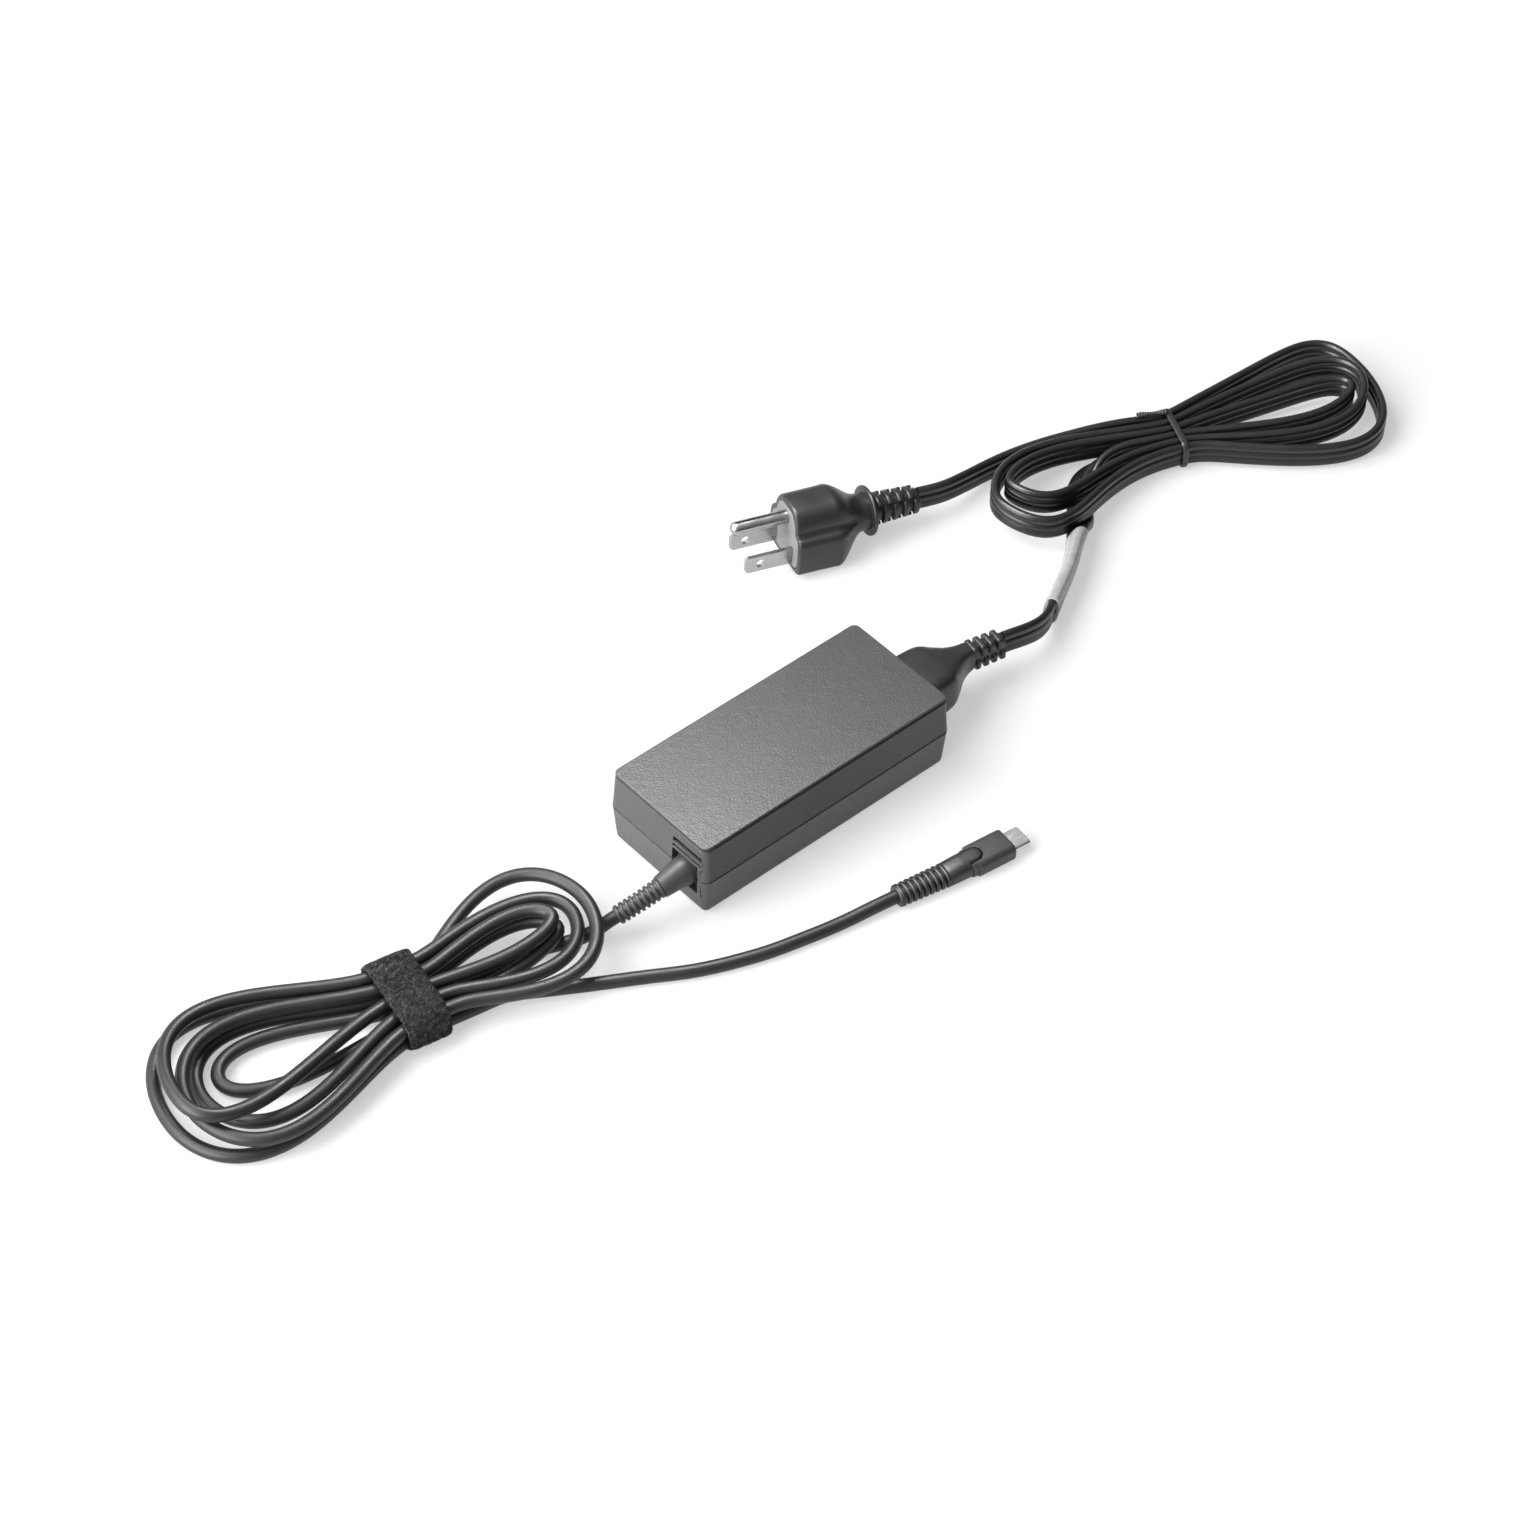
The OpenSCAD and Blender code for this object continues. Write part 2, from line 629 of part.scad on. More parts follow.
module transformer_core() {
    color("#3a3a3c")
    difference() {
        on_board(-24, 0, [20, 22, 17]);
        translate([-29.5 * kx, -12 * ky, board_top + 4 * kz])
            cube([11 * kx, 24 * ky, 9 * kz]);
    }
}

module transformer_winding() {
    color("#d8b63a")
    translate([-29.5 * kx + seat, -12 * ky, board_top + 4 * kz + seat])
        cube([11 * kx - 2 * seat, 24 * ky, 9 * kz - 2 * seat]);
}

module secondary_heat_sink() {
    color("#b5b8bc")
    translate([-37 * kx, 13.4 * ky, board_top])
        cube([22 * kx, heat_sink_thickness, 14 * kz]);
}

module output_rectifier() {
    color("#26272a")
    translate([-31 * kx, 13.4 * ky + heat_sink_thickness + seat, board_top + 3 * kz])
        cube([10 * kx, 4.2 * km, 9 * kz]);
    color("#b9bcc0")
    for (x = [-28.5, -26, -23.5])
        translate([x * kx, 13.4 * ky + heat_sink_thickness + 2, board_top])
            cylinder(d = 0.8, h = 4 * kz, $fn = 16);
}

module output_capacitors() {
    color("#2b3f66")
    for (y = [2.5, 11.5])
        translate([-42 * kx, y * ky, board_top])
            cylinder(r = 4 * km, h = 16 * kz, $fn = 40);
}

module output_choke() {
    color("#6b6e72")
    translate([-40.5 * kx, -8 * ky, board_top]) {
        cylinder(r = 4 * km, h = 1.6 * kz, $fn = 40);
        cylinder(r = 2.8 * km, h = 8 * kz, $fn = 40);
        translate([0, 0, 7.4 * kz])
            cylinder(r = 4 * km, h = 1.6 * kz, $fn = 40);
    }
}

module control_chips() {
    color("#1e1f21")
    for (x = [-38, -27])
        on_board(x, -16, [5, 4, 1.4]);
}

// ---- Output cord ----

function relief_point(p) = [p[0] + dc_shift, p[1], relief_end_z + (parting_height - relief_end_z) * p[2], p[3]];
relief_path = [for (p = relief_top) relief_point(p)];
// Radius along the relief: a smooth cone, then ribs
relief_steps = concat([for (k = [0 : 6]) [k * 0.5, 0]],
                      [for (k = [0 : 8]) each [[3.2 + k * 0.42, 1], [3.24 + k * 0.42, 0],
                                               [3.42 + k * 0.42, 0], [3.46 + k * 0.42, 1]]],
                      [[7, 1]]);

module dc_strain_relief() {
    color("#232427")
    union() {
        rings_solid([for (s = relief_steps)
            let (p = along(relief_path, s[0]),
                 t = unit(place(along(relief_path, min(s[0] + 0.1, 7)) - along(relief_path, max(s[0] - 0.1, 0)))))
            ring(place(p), t, 0, round_section(p[3] - s[1] * relief_rib, 20))]);
        // Neck through the wall and flange behind it
        translate([-half_l + recess_depth - 0.5, gland_y, parting_height])
            rotate([0, 90, 0])
                cylinder(d = gland_d, h = wall + 1.5, $fn = 48);
        translate([-half_l + pad_reach + seat, gland_y - 6.5, max(board_top + 1, parting_height - 6.3)])
            cube([2, 13, 12.6]);
    }
}

module dc_cord_near() {
    color("#1d1e20")
    translate([dc_shift, 0, 0])
        tube(curve(dc_near, 2), round_section(dc_cord_d / 2, 10));
}

module dc_hank() {
    P = dc_path(36);
    echo("output hank: least gap", least(P, 9, 0) - dc_cord_d);
    color("#1d1e20")
    translate([dc_shift, 0, 0])
        tube(dc_path(12), round_section(dc_cord_d / 2, 6));
}

module dc_cord_far() {
    color("#1d1e20")
    translate([dc_shift, 0, 0])
        tube(curve(dc_far, 2), round_section(dc_cord_d / 2, 10));
}

// A closed band round a hank's waist, its hole w wide and h high, with its middle at z
module band(length, w, h, t, r) {
    translate([-length / 2, 0, 0])
        difference() {
            bar(length, w + 2 * t, h + 2 * t, r + t);
            translate([-1, 0, 0])
                bar(length + 2, w, h, r);
        }
}

// Half the bundle's width, square to its run, and its two heights
dc_spread = 1.7;
dc_half = 2 * dc_pitch * cos(atan(dc_slope)) + dc_cord_d / 2 + dc_spread + 0.3;
dc_stack = [dc_row_z - dc_cord_d / 2 - 0.25, dc_row_z + dc_row + dc_cord_d / 2 + 0.35];
ac_spread = 0.7;
ac_half = (2.5 * ac_pitch + ac_cord_thickness / 2 / cos(atan(ac_slope))) * cos(tie_turn) + ac_spread;
ac_stack = [ac_waist_z - ac_cord_width / 2 - 0.2, ac_waist_z + ac_cord_width / 2 + 0.3];

module cable_strap() {
    h = dc_stack[1] - dc_stack[0];
    color("#3a3b3e")
    translate([dc_waist_x + dc_shift, dc_waist_y, (dc_stack[0] + dc_stack[1]) / 2])
        rotate([0, 0, atan(dc_slope)])
            union() {
                band(strap_width, 2 * dc_half, h, strap_thickness, 1.6);
                // The free end lies on the outside
                translate([-strap_width / 2, -dc_half + 3, h / 2 + strap_thickness - 0.01])
                    cube([strap_width, 2 * dc_half - 8, strap_thickness]);
            }
}

// ---- USB-C plug ----

function usb_out(p) = [p[0] + dc_shift, p[1], usb_at[2]];
usb_path = [for (p = usb_relief) usb_out(p)];
usb_steps = concat([for (k = [0 : 8]) each [[0.02 + k * 0.42, 0], [0.2 + k * 0.42, 0],
                                            [0.24 + k * 0.42, 0.55], [0.4 + k * 0.42, 0.55]]],
                   [[3.8, 0], [4.2, -0.1], [4.6, -0.2], [5, -0.3]]);

module at_usb() {
    translate([usb_at[0] + dc_shift, usb_at[1], usb_at[2]])
        rotate([0, 0, usb_turn])
            children();
}

module usb_strain_relief() {
    color("#232427")
    union() {
        rings_solid([for (s = concat([[0, 0]], usb_steps))
            let (p = along(usb_path, s[0]), t = s[0] > 4.1 ? [cos(usb_turn), sin(usb_turn), 0]
                 : unit(along(usb_path, min(s[0] + 0.1, 5)) - along(usb_path, max(s[0] - 0.1, 0))),
                 a = 3.8 + 0.13 * s[0] - s[1], b = usb_body_height / 2 - 0.15 - max(0, s[1]))
            ring(p - (s[0] == 5 ? seat * t : [0, 0, 0]), t, 0, oval_section(a, b, 2.6, 20))]);
        // Tongue over the back of the plug body
        at_usb()
            translate([-1, 0, usb_body_height / 2 - tongue[2] + 0.5])
                difference() {
                    translate([0, -tongue[1] / 2, 0])
                        cube([tongue[0] + 1, tongue[1], tongue[2]]);
                    for (s = [-1, 1])
                        translate([tongue[0] + 1, s * tongue[1] / 2, -1])
                            rotate([0, 0, 45])
                                cube([1.6, 1.6, 4], center = true);
                }
    }
}

module usb_plug_body() {
    color("#2a2b2e")
    at_usb()
        difference() {
            union() {
                bar(usb_step[0] + 0.1, usb_body_width - 2 * usb_step[1], usb_body_height, 2);
                translate([usb_step[0], 0, 0])
                    bar(usb_body_length - usb_step[0] - 0.6, usb_body_width, usb_body_height, 2.2);
                translate([usb_body_length - 0.7, 0, 0])
                    bar(0.7, usb_body_width - 0.8, usb_body_height - 0.8, 1.9);
            }
            // Slot for the relief's tongue
            translate([-1, -tongue[1] / 2 - tongue_groove, usb_body_height / 2 - tongue[2] + 0.45])
                cube([tongue[0] + 1 + tongue_groove, tongue[1] + 2 * tongue_groove, 4]);
            // Pocket that holds the shell's root
            translate([usb_body_length - usb_seat_depth, 0, 0])
                bar(usb_seat_depth + 1, usb_shell[0] + 2 * seat, usb_shell[1] + 2 * seat, usb_shell[1] / 2);
        }
}

module usb_plug_shell() {
    color("#b9bcc0")
    at_usb()
        translate([usb_body_length - usb_seat_depth + seat, 0, 0])
            difference() {
                bar(usb_seat_depth - seat + usb_shell[2], usb_shell[0], usb_shell[1], usb_shell[1] / 2 - 0.01);
                translate([0.4, 0, 0])
                    bar(usb_seat_depth + usb_shell[2], usb_shell[0] - 2 * usb_shell_wall,
                        usb_shell[1] - 2 * usb_shell_wall,
                        usb_shell[1] / 2 - usb_shell_wall - 0.01);
            }
}

module usb_contact_insert() {
    w = usb_shell[0] - 2 * usb_shell_wall - 2 * seat;
    h = usb_shell[1] - 2 * usb_shell_wall - 2 * seat;
    color("#17181a")
    at_usb()
        translate([usb_body_length - usb_seat_depth + 0.5, 0, 0])
            difference() {
                bar(usb_seat_depth + usb_shell[2] - 1.2, w, h, h / 2 - 0.01);
                translate([usb_seat_depth, 0, 0])
                    bar(usb_shell[2], 6.7, 0.9, 0.44);
            }
}

// ---- Mains cord set ----

// Grip of the appliance connector: X from the housing's end, half width, half height, drift in Y and Z
grip = [[0, 0.93, 0.92, 0, 0], [0.7, 1, 1, 0, 0], [7, 1, 1, 0, 0], [13, 0.96, 0.95, 0, 0],
        [17, 0.78, 0.83, 0.1, -0.3],
        [21, 0.55, 0.71, 0.25, -0.6], [25, 0.39, 0.63, 0.4, -0.9], [28.5, 0.33, 0.58, 0.45, -1]];
relief_start = 27.5;
relief_length = 14.1;
relief_turn = -11.3;
relief_core = [5.2, 8.2];
relief_block = [2.2, 6.8, 4.6];

module ac_connector() {
    color("#232427")
    translate([half_l + nose_gap, inlet_y, inlet_z])
        difference() {
            union() {
                rings_solid([for (g = grip)
                    [for (p = oval_section(g[1] * connector_width / 2, g[2] * connector_height / 2,
                                           g[0] < 14 ? 5 : 3.2, 28))
                        [g[0], p[0] + g[3], p[1] + g[4]]]]);
                // Nose that enters the inlet
                translate([-nose_length, 0, 0])
                    lobe_row(nose_length + 1, lobe_r);
                // Strain relief: a core with staggered blocks
                translate([relief_start, 0.55, -1])
                    rotate([0, 0, relief_turn]) {
                        bar(relief_length, relief_core[0], relief_core[1], 2.4);
                        for (k = [0 : 3])
                            for (s = [-1, 1])
                                translate([1.2 + 3.2 * k + (s > 0 ? 0 : 1.5), 0, s * 2.6])
                                    bar(relief_block[0] - 0.6, relief_block[1], relief_block[2], 1.5);
                    }
            }
            translate([-nose_length + 0.8, 0, 0])
                lobe_row(11.4, sleeve_od / 2 + seat);
            translate([-nose_length - 1, 0, 0])
                lobe_row(3, sleeve_id / 2 + 0.1);
        }
}

module connector_contacts() {
    color("#b9bcc0")
    translate([half_l + nose_gap - nose_length + 0.8 + seat, inlet_y, inlet_z])
        difference() {
            lobe_row(11.2, sleeve_od / 2);
            translate([-1, 0, 0])
                lobe_row(12, sleeve_id / 2);
        }
}

module ac_cord_near() {
    color("#1d1e20")
    translate([ac_shift, 0, 0])
        tube(ac_near, flat_section(ac_cord_width, ac_cord_thickness));
}

module label_sleeve() {
    wider = 2 * (sleeve_fit + sleeve_wall);
    outer = flat_section(ac_cord_width + wider, ac_cord_thickness + wider);
    inner = flat_section(ac_cord_width + 2 * sleeve_fit, ac_cord_thickness + 2 * sleeve_fit);
    n = len(outer);
    m = sleeve_span[1] - sleeve_span[0] + 1;
    R = [for (S = [outer, inner]) for (i = [sleeve_span[0] : sleeve_span[1]])
        ring(place(ac_near[i]), heading(ac_near, i), ac_near[i][3], S)];
    inside = [for (f = skin_faces(m, n, m * n)) [f[2], f[1], f[0]]];
    starts = [for (j = [0 : n - 1])
        each [[j, (j + 1) % n, m * n + (j + 1) % n], [j, m * n + (j + 1) % n, m * n + j]]];
    e = (m - 1) * n;
    finish = [for (j = [0 : n - 1]) each [[e + (j + 1) % n, e + j, e + m * n + j],
                                          [e + (j + 1) % n, e + m * n + j, e + m * n + (j + 1) % n]]];
    color("#d8d8d6")
    translate([ac_shift, 0, 0])
        polyhedron(points = [for (r = R) for (p = r) p], convexity = 8,
                   faces = concat(skin_faces(m, n), inside, starts, finish));
}

module ac_hank() {
    P = ac_path(36);
    echo("mains hank: least gap", least(P, 8, ac_cord_width - ac_cord_thickness) - ac_cord_thickness);
    w = ac_cord_width / 2;
    t = ac_cord_thickness / 2;
    color("#1d1e20")
    translate([ac_shift, 0, 0])
        tube(ac_path(12), [[t, -w + t], [t, w - t], [0, w], [-t, w - t], [-t, -w + t], [0, -w]]);
}

module ac_cord_far() {
    color("#1d1e20")
    translate([ac_shift, 0, 0])
        tube(ac_far, flat_section(ac_cord_width, ac_cord_thickness));
}

module twist_tie() {
    h = ac_stack[1] - ac_stack[0];
    color("#202124")
    translate([ac_waist_x + ac_shift, ac_waist_y, (ac_stack[0] + ac_stack[1]) / 2])
        rotate([0, 0, tie_turn])
            union() {
                band(tie_size[0], 2 * ac_half, h, tie_size[1], 1.2);
                // Twisted ends
                translate([0, ac_half - 1, h / 2 + 0.3])
                    rotate([-50, -25, 0])
                        linear_extrude(height = 11, twist = 700, slices = 24)
                            square([2.2, 0.9], center = true);
            }
}

// ---- Mains plug, built with its blades along +X ----

module at_plug() {
    translate([plug_at[0] + ac_shift, plug_at[1], plug_at[2]])
        rotate(plug_turn)
            children();
}

// One section of the plug, s behind the face, blended towards the round neck
function plug_ring(s, size, blend, r) =
    [for (p = plug_outline)
        let (c = [0, plug_axis_z], d = unit(p - c), q = c + (p - c) * size * (1 - blend) + d * r * blend)
        [-s, q[0], q[1]]];

module mains_plug_body() {
    color("#26272a")
    at_plug()
        difference() {
            union() {
                rings_solid([for (v = [[neck_at + 1, 1, 1, 6.6], [27, 1, 1, 6.7], [24.5, 1, 0.84, 6.8],
                                       [22, 1, 0.55, 6.9], [19.5, 1, 0.26, 7], [17.5, 1, 0.08, 7],
                                       [15.5, 1, 0, 7], [1, 1, 0, 7], [0, 0.955, 0, 7]])
                    plug_ring(v[0], v[1], v[2], v[3])]);
                translate([-neck_at, 0, plug_axis_z])
                    rotate([0, -90, 0]) {
                        cylinder(d = flange_size[0], h = flange_size[1], $fn = 48);
                        cylinder(r1 = plug_relief_r[0] - 1.2, r2 = plug_relief_r[1] - 0.9,
                                 h = plug_end - neck_at, $fn = 40);
                    }
                // Staggered blocks of the strain relief
                for (k = [0 : 3])
                    for (s = [0, 1])
                        translate([-neck_at - flange_size[1] - 1.6 - 4 * k - 2 * s, 0, plug_axis_z])
                            rotate([0, -90, 0])
                                intersection() {
                                    cylinder(r = plug_relief_r[0] - 0.22 * k, h = 1.9, $fn = 40);
                                    for (h = [0, 180])
                                        rotate([0, 0, 45 + 90 * s + h])
                                            translate([0.2, 0.2, -1])
                                                cube([8, 8, 5]);
                                }
            }
            // Pocket for the face
            rings_solid([for (s = [face_depth + seat, -1]) plug_ring(s, face_scale, 0, 0)]);
        }
}

module plug_face() {
    inner = face_scale - 0.01;
    color("#8d8f92")
    at_plug()
        difference() {
            rings_solid([for (s = [face_depth, -face_proud]) plug_ring(s, inner, 0, 0)]);
            for (s = [-1, 1])
                translate([-blade_root, s * blade_pitch / 2 - blade_thickness / 2 - seat,
                           -blade_width / 2 - seat])
                    cube([blade_root + 1, blade_thickness + 2 * seat, blade_width + 2 * seat]);
            translate([-blade_root, 0, ground_rise])
                rotate([0, 90, 0])
                    cylinder(d = ground_root_d + 2 * seat, h = blade_root + 1, $fn = 40);
        }
}

module blade(side) {
    at_plug()
        difference() {
            translate([-blade_root + seat, side * blade_pitch / 2 - blade_thickness / 2, -blade_width / 2])
                cube([blade_root - seat + blade_length, blade_thickness, blade_width]);
            translate([blade_hole[0], side * blade_pitch / 2 + 2, 0])
                rotate([90, 0, 0])
                    cylinder(d = blade_hole[1], h = 4, $fn = 32);
            // Chamfered tip corners
            for (s = [-1, 1])
                translate([blade_length, side * blade_pitch / 2, s * blade_width / 2])
                    rotate([0, 45, 0])
                        cube([1.4, 3, 1.4], center = true);
        }
}

module line_blade() {
    color("#c0c2c5")
    blade(1);
}

module neutral_blade() {
    color("#c0c2c5")
    blade(-1);
}

module ground_pin() {
    color("#c0c2c5")
    at_plug()
        translate([0, 0, ground_rise])
            union() {
                translate([-blade_root + seat, 0, 0])
                    rotate([0, 90, 0])
                        cylinder(d = ground_root_d, h = blade_root - seat + ground_start + 1, $fn = 40);
                translate([ground_start, 0, 0])
                    rotate([0, 90, 0])
                        cylinder(d = ground_d, h = ground_length - ground_d / 2 - ground_start, $fn = 40);
                translate([ground_length - ground_d / 2, 0, 0])
                    sphere(d = ground_d, $fn = 40);
            }
}

top_shell();
bottom_shell();
circuit_board();
insulation_sheet();
ac_inlet();
inlet_pins();
input_fuse();
x_capacitor();
y_capacitors();
common_mode_choke();
bridge_rectifier();
bulk_capacitor();
primary_heat_sink();
switching_transistor();
transformer_core();
transformer_winding();
secondary_heat_sink();
output_rectifier();
output_capacitors();
output_choke();
control_chips();
dc_strain_relief();
dc_cord_near();
dc_hank();
cable_strap();
dc_cord_far();
usb_strain_relief();
usb_plug_body();
usb_plug_shell();
usb_contact_insert();
ac_connector();
connector_contacts();
ac_cord_near();
label_sleeve();
ac_hank();
twist_tie();
ac_cord_far();
mains_plug_body();
plug_face();
line_blade();
neutral_blade();
ground_pin();
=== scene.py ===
# %% [markdown]
# # A laptop power adapter with its two cords
#
# The object turns mains power into the low voltage that a laptop takes. Its plastic brick stands on its base.
# A round output cord leaves one end, lies folded in a strapped hank and ends in a small USB plug. A flat
# mains cord is plugged into the other end, lies folded in a tied hank and ends in a grounded plug.
#
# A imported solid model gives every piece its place, its size and the body that it moves with. This scene
# doesn't build the object again. It lays a finer shape over each plain one, and adds the materials, the light
# and the camera. Sizes are in millimetres, as on a drawing, and become metres where a mesh is made.

# %% Set-up
import json
import math

import bmesh
import bpy
import numpy as np
from mathutils import Matrix, Vector

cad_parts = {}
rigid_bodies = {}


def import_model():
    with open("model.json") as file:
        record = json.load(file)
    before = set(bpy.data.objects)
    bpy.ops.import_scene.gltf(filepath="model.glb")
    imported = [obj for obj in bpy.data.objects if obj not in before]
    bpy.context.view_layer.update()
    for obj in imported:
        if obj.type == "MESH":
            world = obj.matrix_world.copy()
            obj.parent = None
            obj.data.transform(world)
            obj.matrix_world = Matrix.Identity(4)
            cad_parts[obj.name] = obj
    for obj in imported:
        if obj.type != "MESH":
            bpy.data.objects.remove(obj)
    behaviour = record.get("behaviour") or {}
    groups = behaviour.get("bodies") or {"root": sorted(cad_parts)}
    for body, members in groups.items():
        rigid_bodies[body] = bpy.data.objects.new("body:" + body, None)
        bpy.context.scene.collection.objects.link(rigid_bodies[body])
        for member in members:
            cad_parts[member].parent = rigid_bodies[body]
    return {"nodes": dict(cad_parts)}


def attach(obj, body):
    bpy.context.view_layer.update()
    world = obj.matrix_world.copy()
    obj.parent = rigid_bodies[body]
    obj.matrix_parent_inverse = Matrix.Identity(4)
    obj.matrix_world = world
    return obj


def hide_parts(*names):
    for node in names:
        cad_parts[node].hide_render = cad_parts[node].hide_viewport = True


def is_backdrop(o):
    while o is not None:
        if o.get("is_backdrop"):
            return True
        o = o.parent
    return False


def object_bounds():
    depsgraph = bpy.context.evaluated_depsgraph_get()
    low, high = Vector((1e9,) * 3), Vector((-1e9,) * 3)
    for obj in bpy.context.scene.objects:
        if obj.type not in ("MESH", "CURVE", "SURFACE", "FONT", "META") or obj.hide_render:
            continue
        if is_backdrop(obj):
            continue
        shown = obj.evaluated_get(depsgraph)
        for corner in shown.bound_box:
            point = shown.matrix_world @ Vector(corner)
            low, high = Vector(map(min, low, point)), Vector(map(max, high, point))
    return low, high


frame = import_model()
CAD_BOX = [list(c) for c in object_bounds()]
SCENE = bpy.context.scene
ADAPTER, CORD_SET = "adapter", "ac_cord_set"
MM = 0.001
UP = np.array([0.0, 0.0, 1.0])

# %% [markdown]
# ## Paths
# A cord or a relief follows a line in space. A Blender curve could draw that line, but a cord has a real
# length, and the length of a curve is hard to set. So a path here is an array of points, which a few lines of
# NumPy smooth, space evenly and measure. A flat cord also leans as it runs: its lean, in degrees, is a fourth
# number of each point.


# %% Smooth and even paths
def curve_through(points, n):
    """A smooth curve through the points, with n steps from point to point."""
    p = np.asarray(points, float)
    q = np.vstack([2 * p[0] - p[1], p, 2 * p[-1] - p[-2]])
    t = (np.arange(n) / n)[:, None]
    out = []
    for i in range(len(p) - 1):
        a, b, c, d = q[i:i + 4]
        out.append(0.5 * (2 * b + (c - a) * t + (2 * a - 5 * b + 4 * c - d) * t ** 2
                          + (3 * b - a - 3 * c + d) * t ** 3))
    return np.vstack(out + [p[-1:]])


def even(p, step):
    """The same path with points a step apart."""
    s = np.r_[0, np.cumsum(np.linalg.norm(np.diff(p[:, :3], axis=0), axis=1))]
    u = np.linspace(0, s[-1], int(round(s[-1] / step)) + 1)
    return np.stack([np.interp(u, s, p[:, k]) for k in range(p.shape[1])], 1)


def relaxed(p, rounds, keep=4):
    """The path with its small kinks drawn out. Its two ends keep their direction."""
    p = p.copy()
    for _ in range(rounds):
        p[keep:-keep] = 0.5 * p[keep:-keep] + 0.25 * (p[keep - 1:-keep - 1] + p[keep + 1:len(p) - keep + 1])
    return p


def run_length(p):
    return float(np.linalg.norm(np.diff(p[:, :3], axis=0), axis=1).sum())


elbow = curve_through([(0, 0, 0), (30, 0, 0), (30, 40, 0)], 12)
print("a 30 by 40 mm elbow, drawn smooth, is", round(run_length(elbow), 1), "mm long")

# %% [markdown]
# ## Skins
# Most pieces are a section that is carried along a path: a circle for a cord, a rounded box for a plug. The
# section's rings are joined by quads, and a cap closes each end. Blender's curve bevel does this too, but it
# keeps one section, while these rings may change on the way. So one function makes the cords, the shells and
# the plugs, and each comes out as a closed mesh.


# %% Rings along a path, and the mesh between them
def headings(p):
    d = np.empty((len(p), 3))
    d[1:-1], d[0], d[-1] = p[2:, :3] - p[:-2, :3], p[1, :3] - p[0, :3], p[-1, :3] - p[-2, :3]
    return d / np.linalg.norm(d, axis=1)[:, None]


def swept(p, section):
    """Rings of the section (across, upward) set square to the path. The section may change along it."""
    t = headings(p)
    n = np.cross(UP, t)
    n /= np.linalg.norm(n, axis=1)[:, None]
    u = np.cross(t, n)
    lean = np.radians(p[:, 3])[:, None] if p.shape[1] > 3 else np.zeros((len(p), 1))
    across, upward = n * np.cos(lean) + u * np.sin(lean), u * np.cos(lean) - n * np.sin(lean)
    s = np.broadcast_to(section, (len(p),) + np.shape(section)[-2:])
    return p[:, None, :3] + across[:, None] * s[..., 0, None] + upward[:, None] * s[..., 1, None]


def skin(rings, caps=True):
    """The points and faces of a closed skin over the rings."""
    rings = np.asarray(rings)
    k, m, _ = rings.shape
    i, j = np.arange(k - 1)[:, None] * m, np.arange(m)[None]
    quads = np.stack([i + j, i + m + j, i + m + (j + 1) % m, i + (j + 1) % m], -1).reshape(-1, 4)
    faces = [tuple(q) for q in quads.tolist()]
    if caps:
        faces += [tuple(range(m)), tuple(range((k - 1) * m, k * m))]
    return rings.reshape(-1, 3), faces


def circle(r, n):
    a = 2 * np.pi * np.arange(n) / n
    return r * np.stack([np.cos(a), np.sin(a)], 1)


print("a pipe of 3 rings of 8 points has", len(skin(swept(elbow[:3], circle(1, 8)))[1]), "faces")


# %% From a skin to an object
def finished(o, sharp):
    """Turns the faces outwards, and shades them smooth up to the angle `sharp`."""
    bm = bmesh.new()
    bm.from_mesh(o.data)
    bmesh.ops.recalc_face_normals(bm, faces=bm.faces)
    bm.to_mesh(o.data)
    bm.free()
    o.data.shade_smooth()
    o.data.set_sharp_from_angle(angle=math.radians(sharp))
    return o


def make(name, shape, sharp=35):
    """An object from a shape's points, in millimetres, and its faces."""
    verts, faces = shape
    me = bpy.data.meshes.new(name)
    me.from_pydata((np.asarray(verts) * MM).tolist(), [], faces)
    o = bpy.data.objects.new(name, me)
    SCENE.collection.objects.link(o)
    return finished(o, sharp)


print("one millimetre is", MM, "of Blender's units")

# %% [markdown]
# ## Camera
# The camera looks down on the brick from the output cord's side. It could be aimed with a Track To constraint,
# but three axes say the view exactly: `back` points from the object to the camera, `right` and `up` span the
# picture, and the roll turns these two a little. A long lens keeps the brick's edges almost parallel.

# %% Camera
azimuth, elevation, roll = (math.radians(a) for a in (-42.154, 46.548, 1.22))
AIM, DISTANCE = Vector((5.84, 12.83, 0)) * MM, 1.3033
back = Vector((math.sin(azimuth) * math.cos(elevation), -math.cos(azimuth) * math.cos(elevation),
               math.sin(elevation)))
right = Vector((math.cos(azimuth), math.sin(azimuth), 0))
up = back.cross(right)
right, up = (right * math.cos(roll) + up * math.sin(roll), up * math.cos(roll) - right * math.sin(roll))
camera = bpy.data.objects.new("camera", bpy.data.cameras.new("camera"))
SCENE.collection.objects.link(camera)
camera.data.sensor_width, camera.data.lens = 36, 94.0
camera.data.clip_start, camera.data.clip_end = 0.05, 20
camera.matrix_world = Matrix((right, up, back)).transposed().to_4x4()
camera.location = AIM + back * DISTANCE
SCENE.camera = camera
print("camera at", [round(c, 3) for c in camera.location])

# %% [markdown]
# ## The hank's rule
# A cord is put away by folding it to and fro over one waist and tying it there. Each half loop leaves a cell
# of the waist, swells out, rounds its end and comes back to the next cell. Drawn point by point, nine such
# loops would take hundreds of points and would run into each other. Here each half loop is a rule with five
# numbers: how far it reaches in X and Y, how wide it is on the way out and on the way back, and how high.


